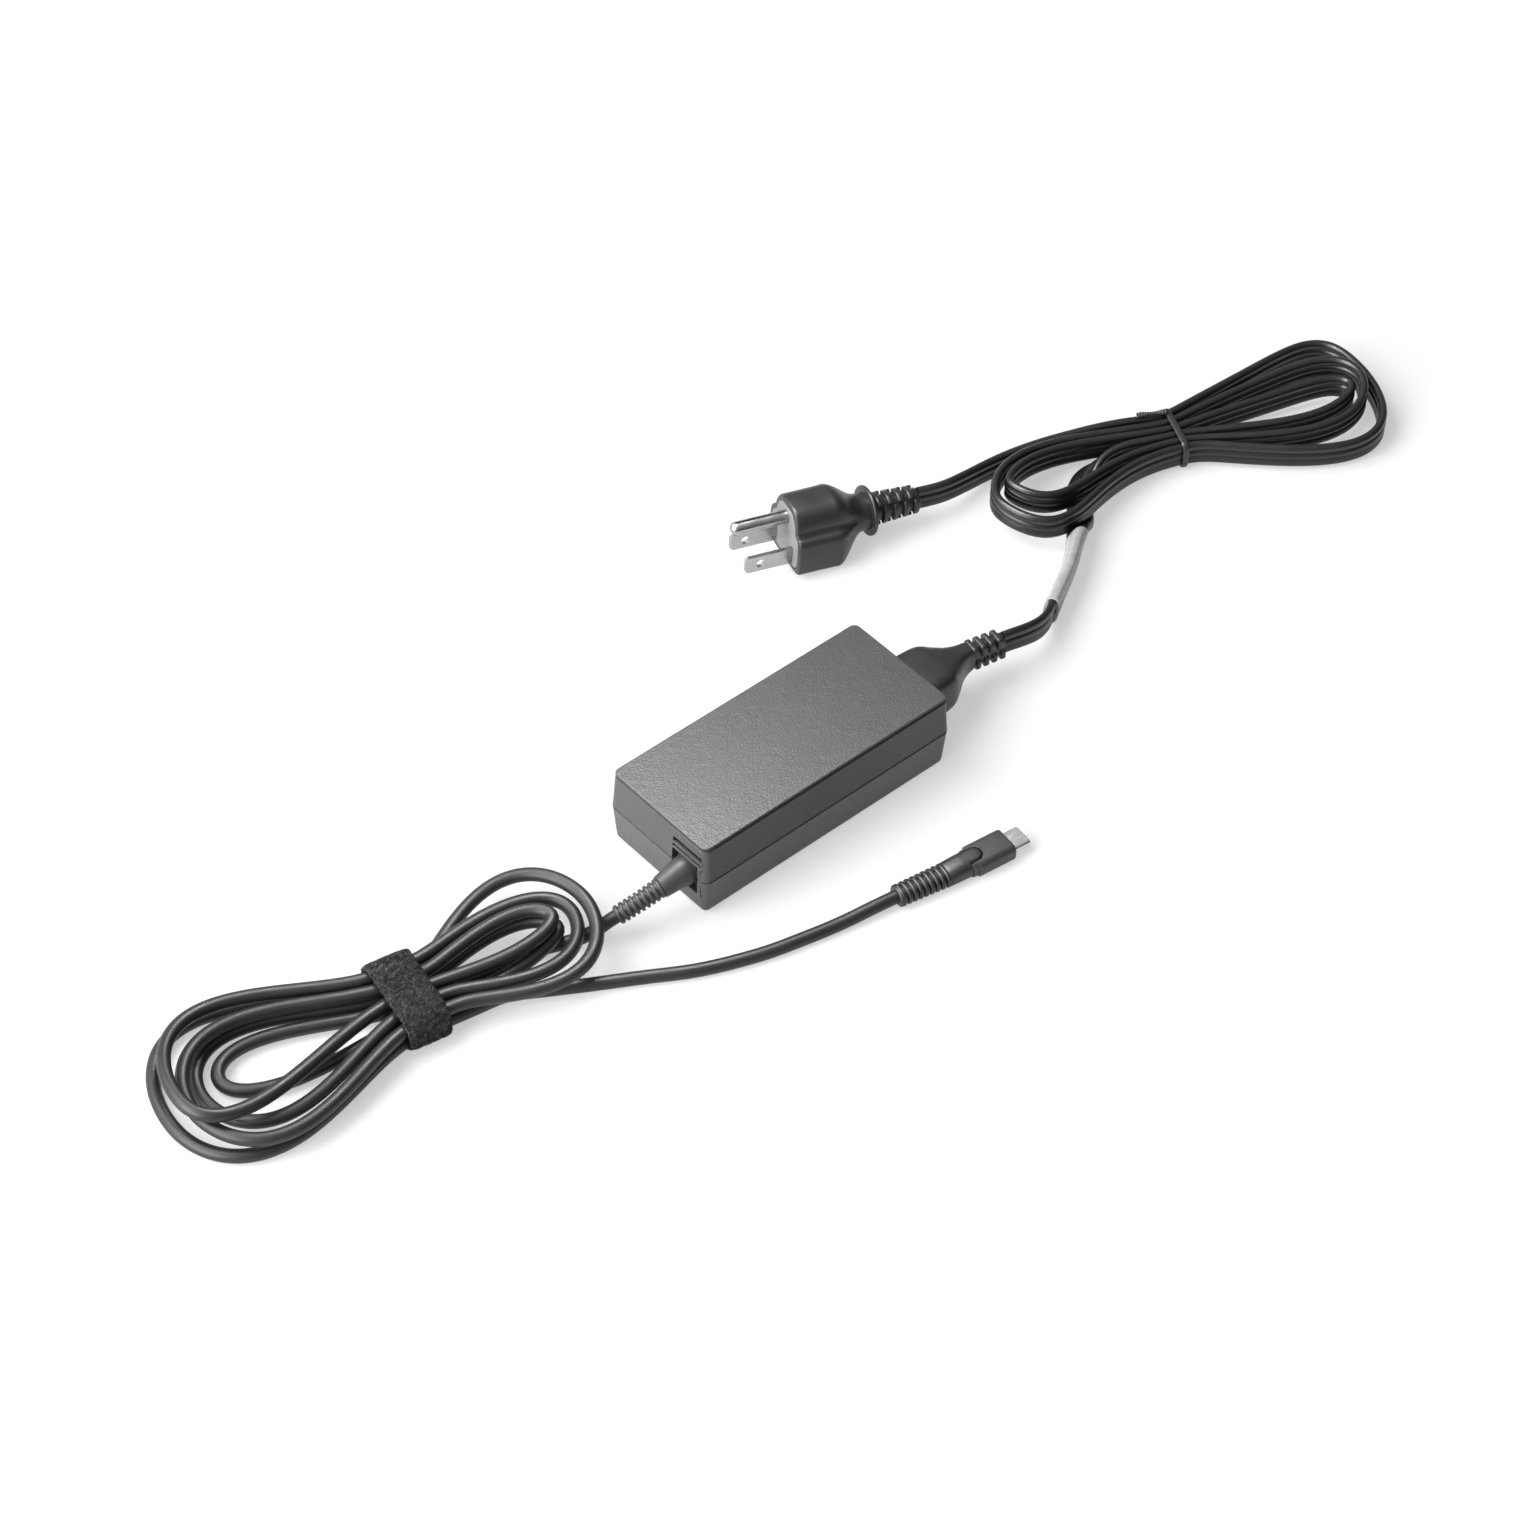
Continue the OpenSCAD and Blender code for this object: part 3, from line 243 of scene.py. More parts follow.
# %% The hank's rule
def bulge(s, soft, straight):
    """How far a loop has swollen at the share s of its reach, after a straight start."""
    m = np.maximum(0, s - straight) / (1 - straight)
    return np.sqrt(m * m + soft * soft) - soft


def hank(x0, slope, cells, ends, side, soft, straight, n):
    """The path of a hank with its waist at x0. Each end is x, y, width out, width back and height."""
    out = []
    for j, (ex, ey, wide_out, wide_back, ez) in enumerate(ends):
        k = 0 if ex < x0 else 1
        grid = np.linspace(0.01, 0.99, 99)
        top = (np.sqrt(1 - grid ** 2) * bulge(grid, soft[k], straight[k])).max()
        a = np.pi * np.arange(n) / n
        s, c, q = np.sin(a), np.cos(a), np.sin(a) ** 2
        first = np.arange(n) < n / 2
        wy, wz = (np.where(first, cells[j][i], cells[j + 1][i]) for i in (0, 1))
        x = x0 + (ex - x0) * s
        y = (wy * (1 - q) + ey * q + slope * (x - x0) * (1 - q)
             + side * (1 if j % 2 == 0 else -1) * np.where(first, wide_out, wide_back) * c
             * bulge(s, soft[k], straight[k]) / top)
        out.append(np.stack([x, y, wz * (1 - q) + ez * q], 1))
    return np.vstack(out + [[[x0, cells[-1][0], cells[-1][1]]]])


print("a loop is widest on its way out at about", round(float(np.argmax(
    np.sqrt(1 - np.linspace(0, 1, 101) ** 2) * bulge(np.linspace(0, 1, 101), 0.3, 0.03))) / 100, 2), "of its reach")

# %% [markdown]
# ## The output cord
# This is a round rubber cord, 4.5 mm thick and about 1.6 m long. It could be a curve with a bevel, or a rope
# simulation. A curve wouldn't keep its strands apart, and a simulation wouldn't lie the same way twice. So the
# free stretches are points, the hank follows its rule, and its waist has cells in two layers, a strand in each.

# %% The output cord's waist and loops
DC_D, DC_WAIST, DC_SLOPE, DC_PITCH, DC_LAYER = 4.5, (-144, 6, 3.7), -0.19, 5.65, 5.2
dc_cells = [(DC_WAIST[1] + DC_PITCH * column, DC_WAIST[2] + DC_LAYER * layer) for column, layer in
            [(0, 0), (-1, 0), (1, 0), (-1, 1), (2, 1), (0, 1), (1, 1), (-2, 1), (2, 0), (-2, 0)]]
dc_ends = [(-207.5, 19.5, 9, 8.5, 2.4), (-93, -2.5, 0.5, 9.5, 8), (-215, 16.5, 15, 19, 2.5),
           (-86, 3, 11.5, 9.5, 8.5), (-225.5, 11.5, 21, 14.5, 15), (-94, -0.5, 2.5, 8.5, 13),
           (-222.5, 9.5, 18, 21.5, 9), (-82, 2, 15.5, 20, 12.5), (-228, 13, 24.5, 22, 2.4)]
dc_hank = hank(DC_WAIST[0], DC_SLOPE, dc_cells, dc_ends, 1, (0.29, 0.12), (0.03, 0.1), 72)
print("output hank:", len(dc_ends), "half loops,", round(run_length(dc_hank)), "mm")

# %% The output cord's run
PATH_STEPS = 12


def whole_run(near, hank_path, far, step=1.4, rounds=6):
    """One path from the near stretch through the hank to the far stretch."""
    ends = curve_through(near, PATH_STEPS)[:-1], curve_through(far, PATH_STEPS)[1:]
    return relaxed(even(np.vstack([ends[0], hank_path, ends[1]]), step), rounds)


dc_near = [(-77.1, -10.27, 8.57), (-80, -9.3, 7.1), (-85, -8, 4.8), (-91, -5.6, 3), (-97, -2.4, 2.35),
           (-104, 0, 2.35), (-113, 1, 2.8), (-121, 1.63, 3.7), (-128.9, 3.13, 3.7)]
dc_far = [(-128.9, -8.17, 3.7), (-121, -9.75, 3.7), (-110, -15.5, 2.9), (-98, -22.3, 2.35),
          (-84.5, -30.2, 2.35), (-68.3, -39.8, 2.35), (-50.2, -47.2, 2.35), (-36, -51, 2.35),
          (-22.6, -53.9, 2.35), (-10, -56.2, 3.1), (-2.55, -57.48, 3.3)]
dc_run = whole_run(dc_near, dc_hank, dc_far)
dc_cord = make("dc_cord", skin(swept(dc_run, circle(DC_D / 2, 18))))
print("output cord:", round(run_length(dc_run)), "mm,", len(dc_cord.data.polygons), "faces")

# %% [markdown]
# ## The mains cord
# This cord is flat: three insulated cores lie side by side with a valley between each two. Three round cords
# would have to be kept together by hand, so one section holds all three. A flat cord bends far more easily
# over its thin side, so it stands on its edge where it leaves the connector and again in the hank. In between
# it turns over and lies flat for a short stretch. The lean of its path does that.


# %% The flat cord's section
def three_cores(w, t, valley=0.5, n=60):
    """An outline w wide and t thick: three round cores, with valleys that reach halfway to the middle."""
    c, a = (w - t) / 2, 2 * np.pi * np.arange(n) / n
    out = []
    for k in a:
        d = np.array([math.cos(k), math.sin(k)])
        reach = 0
        for centre in (-c, 0, c):
            q = np.array([0, centre])
            b = d @ q
            disc = b * b - q @ q + (t / 2) ** 2
            if disc > 0:
                reach = max(reach, b + math.sqrt(disc))
        flat = min(valley * t / 2 / max(abs(d[0]), 1e-6), w / 2)
        out.append(d * max(reach, flat if abs(d[1]) * flat < c else 0))
    return np.array(out)


AC_W, AC_T = 9.2, 3.1
print("flat cord:", np.ptp(three_cores(AC_W, AC_T), axis=0).round(2), "mm")

# %% The mains cord's run
AC_WAIST, AC_SLOPE, AC_PITCH = (216, 36, 5.8), -0.45, 3.7
ac_cells = [(AC_WAIST[1] + AC_PITCH * column, AC_WAIST[2]) for column in (-0.5, 0.5, -1.5, 1.5, -2.5, 2.5)]
ac_ends = [(281, 12.5, 3.5, 10, 7.5), (148.5, 51, 1, 16.5, 11.5), (287, 17, 10.5, 15, 8.5),
           (139.5, 45.5, 5, 22, 11.5), (293, 28.5, 24.5, 17, 4.8)]
ac_near = [(94.4, -3.23, 12.5, 0), (98, -3.95, 12.3, 0), (104.5, -4.7, 11.2, 0), (111, -4.1, 9.4, 0),
           (117, -1.8, 7.6, 3), (122.3, 1.6, 6.2, 4), (128, 5, 5.7, 6), (134.4, 8.6, 5.6, 8),
           (141, 12.4, 5.6, 9), (147.3, 16.8, 5.6, 10), (153, 21, 5.5, 18), (158, 24.8, 4.2, 55),
           (163, 28.6, 2.1, 88), (167.3, 33, 1.8, 90), (170.6, 37.6, 1.8, 90), (175.5, 41.6, 2, 85),
           (181.5, 44.6, 3.2, 60), (189, 45.2, 4.6, 25), (197.5, 42.25, 5.8, 0), (205.9, 38.45, 5.8, 0)]
ac_far = [(205.9, 51.05, 5.8, 0), (197, 55.05, 5.8, 0), (187, 59.4, 5.2, 0), (177, 63, 4.9, 0),
          (166, 65.8, 4.8, 0), (155.8, 66.8, 5.3, 0), (148, 66.5, 6.4, 0), (140.5, 66, 7.8, 0),
          (132, 66.2, 8.95, 0), (122.72, 69.01, 9.62, 0)]
ac_hank = hank(AC_WAIST[0], AC_SLOPE, ac_cells, ac_ends, -1, (1.25, 0.05), (0, 0), 72)
ac_hank = np.hstack([ac_hank, np.zeros((len(ac_hank), 1))])
ac_run = whole_run(ac_near, ac_hank, ac_far)
ac_cord = make("ac_cord", skin(swept(ac_run, three_cores(AC_W, AC_T))), 60)
print("mains cord:", round(run_length(ac_run)), "mm,", len(ac_cord.data.polygons), "faces")

# %% [markdown]
# ## Nodes that all materials share
# A material could be an image of plastic wrapped round the piece, but an image stretches and repeats. Noise in
# object coordinates has no seam, keeps its size in millimetres on every piece, and needs no unwrapping. These
# helpers add the nodes: a noise, a colour ramp, a number between two limits, and bumps one on another.


# %% Nodes for noise, colour and bumps
def nodes_of(name):
    m = bpy.data.materials.new(name)
    m.use_nodes = True
    t = m.node_tree
    return m, t, t.nodes["Principled BSDF"]


def noise(t, scale, detail, rough=0.5, distortion=0.0, stretch=None):
    co = t.nodes.new("ShaderNodeTexCoord")
    n = t.nodes.new("ShaderNodeTexNoise")
    n.inputs["Scale"].default_value, n.inputs["Detail"].default_value = scale, detail
    n.inputs["Roughness"].default_value, n.inputs["Distortion"].default_value = rough, distortion
    if stretch:
        mp = t.nodes.new("ShaderNodeMapping")
        mp.inputs["Scale"].default_value = stretch
        t.links.new(co.outputs["Object"], mp.inputs["Vector"])
        t.links.new(mp.outputs["Vector"], n.inputs["Vector"])
    else:
        t.links.new(co.outputs["Object"], n.inputs["Vector"])
    return n.outputs["Fac"]


def ramp(t, fac, stops):
    r = t.nodes.new("ShaderNodeValToRGB")
    r.color_ramp.elements[0].position, r.color_ramp.elements[0].color = stops[0][0], (*stops[0][1], 1)
    r.color_ramp.elements[1].position, r.color_ramp.elements[1].color = stops[-1][0], (*stops[-1][1], 1)
    for p, c in stops[1:-1]:
        r.color_ramp.elements.new(p).color = (*c, 1)
    t.links.new(fac, r.inputs["Fac"])
    return r.outputs["Color"]


def between(t, fac, low, high):
    m = t.nodes.new("ShaderNodeMapRange")
    m.inputs["From Min"].default_value, m.inputs["From Max"].default_value = 0.3, 0.7
    m.inputs["To Min"].default_value, m.inputs["To Max"].default_value = low, high
    t.links.new(fac, m.inputs["Value"])
    return m.outputs["Result"]


def grain(t, b, layers):
    """Bumps one on another. Each has a height, a depth in millimetres and a strength."""
    last = None
    for height, depth, strength in layers:
        n = t.nodes.new("ShaderNodeBump")
        n.inputs["Distance"].default_value, n.inputs["Strength"].default_value = depth * MM, strength
        t.links.new(height, n.inputs["Height"])
        if last:
            t.links.new(last, n.inputs["Normal"])
        last = n.outputs["Normal"]
    t.links.new(last, b.inputs["Normal"])


print("a noise of scale 1000 has a feature about every", 1 / (1000 * MM), "mm")

# %% [markdown]
# ## Moulded and rubbery finishes
# The housing has a spark-eroded grain that scatters the light, so that a lamp shows as a soft patch and never
# as a spot. The plugs and the cords have a much finer one. All are the same recipe: a colour that drifts a
# little over a few centimetres, a gloss that drifts over a few millimetres, and a fine and a coarse grain.
# Only the numbers differ, so that one function serves them all.


# %% Moulded and rubbery finishes
def surface(name, colour, rough, spread=0.12, size=2500, depth=0.02, strength=0.35, gloss=0.5, wear=0.06):
    m, t, b = nodes_of(name)
    dark, light = [c * (1 - spread) for c in colour], [c * (1 + spread) for c in colour]
    t.links.new(ramp(t, noise(t, 45, 4), [(0.3, dark), (0.7, light)]), b.inputs["Base Color"])
    t.links.new(between(t, noise(t, 160, 5, 0.6), rough - wear, rough + wear), b.inputs["Roughness"])
    b.inputs["Specular IOR Level"].default_value = gloss
    grain(t, b, [(noise(t, size, 2, 0.6), depth, strength),
                 (noise(t, size * 0.22, 2), depth * 1.5, strength * 0.4)])
    return m


eroded = {"spread": 0.04, "size": 1700, "depth": 0.16, "strength": 0.7, "wear": 0.02}
# Plate and sides are one plastic. The plate's copy is darker, as painted shade, and the sides' copy is lighter, as
# painted light, to offset how the lamps fall on them.
housing_plate_shaded_copy = surface("housing_plate_shaded_copy", (0.055, 0.055, 0.0565), 0.34, gloss=0.5, **eroded)
housing_side_lit_copy = surface("housing_side_lit_copy", (0.074, 0.074, 0.076), 0.38, gloss=0.4, **eroded)
black_plastic = surface("black_plastic", (0.024, 0.024, 0.025), 0.36, size=3200, depth=0.015, strength=0.35)
relief_plastic = surface("relief_plastic", (0.05, 0.05, 0.052), 0.45, size=3200, depth=0.015, strength=0.35)
grey_plastic = surface("grey_plastic", (0.2, 0.2, 0.202), 0.42, size=3000, depth=0.015, strength=0.3)
usb_plastic = surface("usb_plastic", (0.038, 0.038, 0.039), 0.42, size=3200, depth=0.02, strength=0.4)
usb_rubber = surface("usb_rubber", (0.022, 0.022, 0.023), 0.4, size=3200, depth=0.02, strength=0.4)
cord_rubber = surface("cord_rubber", (0.0125, 0.0125, 0.013), 0.44, size=2200, depth=0.02, strength=0.3)
cord_vinyl = surface("cord_vinyl", (0.009, 0.009, 0.0094), 0.33, size=2200, depth=0.02, strength=0.25)
component_black = surface("component_black", (0.03, 0.03, 0.032), 0.5)
# A near-black finish for the plate behind the window: painted shade in the gaps between the ledges.
painted_shade_black = surface("painted_shade_black", (0.007, 0.007, 0.0072), 0.6, gloss=0.25)
moulded = (housing_plate_shaded_copy, housing_side_lit_copy, black_plastic, relief_plastic, grey_plastic, usb_plastic, usb_rubber,
           cord_rubber, cord_vinyl, component_black, painted_shade_black)
print("moulded and rubbery finishes:", len(moulded))

# %% [markdown]
# ## Metal
# The blades and the pin are plated with nickel, and the USB shell is pressed from steel. Both have fine
# lines along the way they were drawn. An anisotropic shader could show them, but it needs a tangent for every
# face. A noise that is drawn out along one axis gives the same lines in the gloss and in a very fine bump.


# %% Metal
def metal(name, colour, rough, stretch, depth=0.004):
    m, t, b = nodes_of(name)
    b.inputs["Metallic"].default_value = 1
    line = noise(t, 900, 3, 0.6, stretch=stretch)
    dull = [c * 0.86 for c in colour]
    t.links.new(ramp(t, noise(t, 220, 4), [(0.25, dull), (0.75, colour)]), b.inputs["Base Color"])
    t.links.new(between(t, line, rough * 0.75, rough * 1.35), b.inputs["Roughness"])
    grain(t, b, [(line, depth, 0.5)])
    return m


nickel = metal("nickel", (0.43, 0.426, 0.415), 0.25, (0.15, 0.6, 1.4))
shell_steel = metal("shell_steel", (0.66, 0.66, 0.67), 0.24, (0.2, 1, 1))
aluminium = metal("aluminium", (0.72, 0.72, 0.74), 0.4, (0.2, 1, 1))
print("metals: nickel, steel, aluminium")

# %% [markdown]
# ## Film and looped cloth
# The sleeve on the mains cord is a shrunk plastic film: it is glossy, a little cloudy and rumpled, so it gets
# a thin clear coat over a coarse bump. The strap is a cloth of tiny loops. Its colour runs from almost black to
# grey within a millimetre: the grey is the yarn, and the dark is painted shade where light sinks between the
# loops. A faint sheen comes from stray fibres.

# %% Film and looped cloth
white_film, t, b = nodes_of("white_film")
cloudy = ramp(t, noise(t, 240, 4), [(0.3, (0.4, 0.4, 0.395)), (0.7, (0.54, 0.54, 0.53))])
t.links.new(cloudy, b.inputs["Base Color"])
t.links.new(between(t, noise(t, 500, 4), 0.25, 0.42), b.inputs["Roughness"])
b.inputs["Coat Weight"].default_value, b.inputs["Coat Roughness"].default_value = 0.3, 0.2
grain(t, b, [(noise(t, 420, 3, 0.5, 1.2), 0.12, 0.5), (noise(t, 1800, 2), 0.02, 0.3)])

strap_cloth, t, b = nodes_of("strap_cloth")
# The near-black end of this ramp is painted shade between the loops, and the grey end is the yarn.
yarn_colour_and_loop_shade = ramp(t, noise(t, 700, 6, 0.75), [(0.36, (0.006, 0.006, 0.006)), (0.5, (0.035, 0.035, 0.036)),
                                          (0.62, (0.13, 0.13, 0.134))])
t.links.new(yarn_colour_and_loop_shade, b.inputs["Base Color"])
b.inputs["Roughness"].default_value = 0.85
b.inputs["Sheen Weight"].default_value, b.inputs["Sheen Roughness"].default_value = 0.15, 0.5
b.inputs["Specular IOR Level"].default_value = 0.15
grain(t, b, [(noise(t, 1300, 5, 0.7, 0.6), 0.25, 0.9)])
print("film and cloth:", white_film.name, strap_cloth.name)

# %% [markdown]
# ## Finishes of the inner parts
# Nobody sees these while the housing is closed, but the parts are there, so they have their own finishes:
# green solder mask, wound copper, pressed fibre, ferrite, yellow tape and moulded cases. Wound wire is bands
# rather than noise, so a wave texture draws it and lifts it as well.

# %% Finishes of the inner parts
board_green, t, b = nodes_of("board_green")
mask = ramp(t, noise(t, 350, 4), [(0.4, (0.01, 0.07, 0.03)), (0.6, (0.02, 0.12, 0.05))])
t.links.new(mask, b.inputs["Base Color"])
t.links.new(between(t, noise(t, 900, 3), 0.25, 0.4), b.inputs["Roughness"])
grain(t, b, [(noise(t, 700, 2), 0.02, 0.4)])

copper_coil, t, b = nodes_of("copper_coil")
co, wave = t.nodes.new("ShaderNodeTexCoord"), t.nodes.new("ShaderNodeTexWave")
wave.inputs["Scale"].default_value, wave.inputs["Distortion"].default_value = 380, 1.5
t.links.new(co.outputs["Object"], wave.inputs["Vector"])
wound = ramp(t, wave.outputs["Fac"], [(0.2, (0.12, 0.03, 0.008)), (0.8, (0.55, 0.2, 0.06))])
t.links.new(wound, b.inputs["Base Color"])
b.inputs["Metallic"].default_value, b.inputs["Roughness"].default_value = 0.6, 0.35
grain(t, b, [(wave.outputs["Fac"], 0.15, 0.8)])

insulator = surface("insulator", (0.55, 0.52, 0.42), 0.7)
ferrite = surface("ferrite", (0.05, 0.05, 0.052), 0.55)
tape = surface("tape", (0.62, 0.42, 0.06), 0.3)
film_box = surface("film_box", (0.6, 0.45, 0.07), 0.35)
blue_sleeve = surface("blue_sleeve", (0.03, 0.06, 0.2), 0.3)
disc_blue = surface("disc_blue", (0.05, 0.2, 0.5), 0.35)
print("materials in all:", len(bpy.data.materials))

# %% [markdown]
# ## Shop tools
# A shell or a plug is also worked on: holes are cut, blocks are added and edges are broken. Boolean and Bevel
# modifiers do that, and each is baked at once, so that the next one works on a plain mesh. A finished piece
# stays at the origin, and its place is written into its mesh.


# %% Cutting and joining
def baked(o, sharp=None):
    """The object with its modifiers turned into its own mesh."""
    dg = bpy.context.evaluated_depsgraph_get()
    dg.update()
    me = bpy.data.meshes.new_from_object(o.evaluated_get(dg))
    o.modifiers.clear()
    o.data = me
    return finished(o, sharp) if sharp else o


def cut(o, cutters, operation="DIFFERENCE", sharp=35):
    for c in cutters:
        m = o.modifiers.new("cut", "BOOLEAN")
        m.operation, m.solver, m.object = operation, "EXACT", c
        baked(o)
    for c in cutters:
        bpy.data.objects.remove(c)
    return finished(o, sharp)


def bevelled(o, width, segments):
    """Breaks every edge that is sharper than 40 degrees."""
    m = o.modifiers.new("edges", "BEVEL")
    m.width, m.segments, m.limit_method, m.angle_limit = width * MM, segments, "ANGLE", math.radians(40)
    return baked(o, 30)


def placed(o, matrix):
    """Writes a placement, given in millimetres, into the mesh."""
    m = matrix.copy()
    m.translation = m.translation * MM
    o.data.transform(m)
    return o


def attached(o, body, slot, *nodes):
    """Gives a piece its body and hides the frame nodes that it stands for. The slot is not used."""
    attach(o, body)
    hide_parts(*nodes)
    return o


def painted(o, material, body, slot, *nodes):
    o.data.materials.clear()
    o.data.materials.append(material)
    return attached(o, body, slot, *nodes)


print("bodies to attach to:", ADAPTER, "and", CORD_SET)


# %% Boxes, rods and rounded outlines
def box(x0, y0, z0, x1, y1, z1, name="box"):
    v = [(x, y, z) for x in (x0, x1) for y in (y0, y1) for z in (z0, z1)]
    f = [(0, 1, 3, 2), (4, 6, 7, 5), (0, 4, 5, 1), (2, 3, 7, 6), (0, 2, 6, 4), (1, 5, 7, 3)]
    return make(name, (v, f))


def unit(v):
    return v / np.linalg.norm(v)


def rod(a, b, r, n):
    """A round bar from a to b."""
    a, b = np.array(a, float), np.array(b, float)
    t = unit(b - a)
    n1 = unit(np.cross(t, UP if abs(t[2]) < 0.9 else np.array([1.0, 0, 0])))
    n2 = np.cross(t, n1)
    c = circle(r, n)
    ring = c[:, :1] * n1 + c[:, 1:] * n2
    return make("rod", skin([a + ring, b + ring]))


def rounded(w, h, r, n=8):
    """A rectangle w by h with corners of radius r and n steps in each corner."""
    pts = []
    for cx, cy, a0 in ((w / 2 - r, h / 2 - r, 0), (r - w / 2, h / 2 - r, 90), (r - w / 2, r - h / 2, 180),
                       (w / 2 - r, r - h / 2, 270)):
        for k in range(n + 1):
            a = math.radians(a0 + 90 * k / n)
            pts.append((cx + r * math.cos(a), cy + r * math.sin(a)))
    return np.array(pts)


print("a rounded outline has", len(rounded(10, 5, 1)), "points")

# %% [markdown]
# ## Housing
# Two moulded shells meet at a parting line. A box with a bevel would give the outside, but not the lip that
# holds the shells together, the draft that lets them leave the mould, or the sunk line at the joint. So each
# shell is one skin: its rings run down the outside, over the rim with its lip or rebate, and up the inside. A
# ring is given by how far it stands in from the widest outline, and by its height.

# %% The housing's measures and rings
HALF_LENGTH, HALF_WIDTH, HEIGHT, PARTING = 52.5, 23.5, 30.0, 15.3
OUT_END, IN_END = -HALF_LENGTH, HALF_LENGTH
CORNER = 3.4
WINDOW_Y, WINDOW_Z, WINDOW_DEPTH, WINDOW_BACK = (-21, -7.5), (8, 24), 1.3, 2.45
CORD_Y = -14


def ring_at(inset, z):
    r = rounded(2 * (HALF_LENGTH - inset), 2 * (HALF_WIDTH - inset), max(CORNER - inset, 0.8), 10)
    return np.hstack([r, np.full((len(r), 1), z)])


def edge_rings(inset, radius, z, sign, steps):
    """The rings of a rounded edge, from the flat face at z to the side."""
    return [(inset + radius * (1 - math.sin(k)), z + sign * radius * (1 - math.cos(k)))
            for k in np.radians(np.linspace(0, 90, steps))]


print("housing:", 2 * HALF_LENGTH, "x", 2 * HALF_WIDTH, "x", HEIGHT, "mm, parted at", PARTING)


# %% Thick places and openings
def pads(profile, z0, z1):
    """The thick places behind the window and the inlet, kept 0.8 mm inside the shell's own outline."""
    out = []
    for x0, y0, x1, y1 in ((OUT_END + 1.35, -23, OUT_END + 3.3, -5.5), (49.3, -14.5, IN_END - 1.35, 12.5)):
        form = make("form", skin([ring_at(inset + 0.8, z) for inset, z in profile]))
        out.append(cut(box(x0, y0, z0, x1, y1, z1), [form], "INTERSECT"))
    return out


def openings():
    """Cutters for the window, the hole of the output cord's neck, and the inlet."""
    x = OUT_END - 1
    return [box(x, WINDOW_Y[0], WINDOW_Z[0], OUT_END + WINDOW_DEPTH, WINDOW_Y[1], WINDOW_Z[1]),
            rod((x, CORD_Y, PARTING), (x + 6, CORD_Y, PARTING), 4.6, 64),
            box(IN_END - 4.2, -11.65, 5.85, IN_END + 1, 9.65, 21.15)]


def deeper_window(z0, z1):
    """A cutter for the window's deep part, a hair narrower than the window, so that no faces coincide."""
    return box(OUT_END - 1, WINDOW_Y[0] + 0.001, z0, OUT_END + WINDOW_BACK, WINDOW_Y[1] - 0.001, z1)


print("window:", WINDOW_Y[1] - WINDOW_Y[0], "x", WINDOW_Z[1] - WINDOW_Z[0], "mm")

# %% [markdown]
# ### Top shell
# The flat top looks like a plate that is let into the shell: under its rounded edge runs a sunk groove. In the
# output end is a window with two ledges, through which the relief comes out. The ledges and the upright jamb
# are small bevelled bars. Plate and sides are one plastic, but the plate takes more light than the sides do, so
# it is painted darker and the sides lighter: a shaded and a lit copy of one finish.

# %% Top shell
plate_face = [(2.2, HEIGHT), (1.6, HEIGHT)] + edge_rings(1.05, 0.4, HEIGHT, -1, 6) + [(1.07, 29.42)]
top_side = [(1.14, 29.36), (2.25, 29.3), (2.3, 29.2), (2.25, 28.3), (2.15, 28.2), (1.12, 28.05), (1.02, 27.98),
            (0.98, 27.8), (0.12, 16.1), (0.0, 15.75), (0.08, 15.56)]
top_inside = [(0.6, 15.5), (0.6, PARTING), (0.95, PARTING), (0.95, 17.05), (2.6, 17.05), (3.0, 27.6), (3.6, 28)]
top_shell = make("housing_top_shell", skin([ring_at(*v) for v in plate_face + top_side + top_inside]))
ledges = [box(OUT_END + x, WINDOW_Y[0] - 0.5, z, OUT_END + 1.8, WINDOW_Y[1] + 0.5, z + 0.75)
          for x, z in ((0.35, 20.3), (0.5, 22.4))]
ledges.append(box(OUT_END + 0.3, WINDOW_Y[0] + 0.2, PARTING + 0.25, OUT_END + 1.8, WINDOW_Y[0] + 1.6, 20.4))
for o in ledges:
    bevelled(o, 0.25, 2)
cut(top_shell, pads(top_side, PARTING, 27), "UNION")
cut(top_shell, openings())
cut(top_shell, [deeper_window(14, 25.3)])
cut(top_shell, ledges, "UNION", 30)
painted(top_shell, housing_side_lit_copy, ADAPTER, "housing_top", "top_shell")
# The plate's faces take the darker copy: painted shade against the extra light on the top.
top_shell.data.materials.append(housing_plate_shaded_copy)
for f in top_shell.data.polygons:
    f.material_index = int(f.center.z > 29.4 * MM)
print("top shell:", len(top_shell.data.polygons), "faces")

# %% [markdown]
# ### Bottom shell
# The lower shell has a rounded foot and a lip that slips inside the upper one. The lip stops short of the
# window and the inlet, where the thick places are. Inside stand four posts with pins for the board, and two
# rails under the inlet.

# %% Bottom shell
FOOT_INSET, FOOT_R = 1.2, 2.4
base_side = [(FOOT_INSET + FOOT_R + 0.4, 0), (FOOT_INSET + FOOT_R + 0.15, 0)]
base_side += edge_rings(FOOT_INSET, FOOT_R, 0, 1, 9)
base_side += [(1.1, 3.0), (0.06, 14.5), (0.0, 14.85), (0.08, 15.02)]
base_inside = [(0.6, 15.1), (0.6, 15.3), (1.1, 15.3), (1.1, 16.8), (1.2, 16.9), (1.9, 16.9), (2.0, 16.8),
               (2.0, 15.2), (2.05, 14.7), (3.1, 2.3), (3.6, 2)]
bottom_shell = make("housing_bottom_shell", skin([ring_at(*v) for v in base_side + base_inside]))
lip_gaps = [box(OUT_END + 0.95, WINDOW_Y[0] - 2.5, PARTING + 0.001, OUT_END + 7, WINDOW_Y[1] + 2.5, 18),
            box(IN_END - 7, -15, PARTING + 0.001, IN_END - 0.95, 13, 18)]
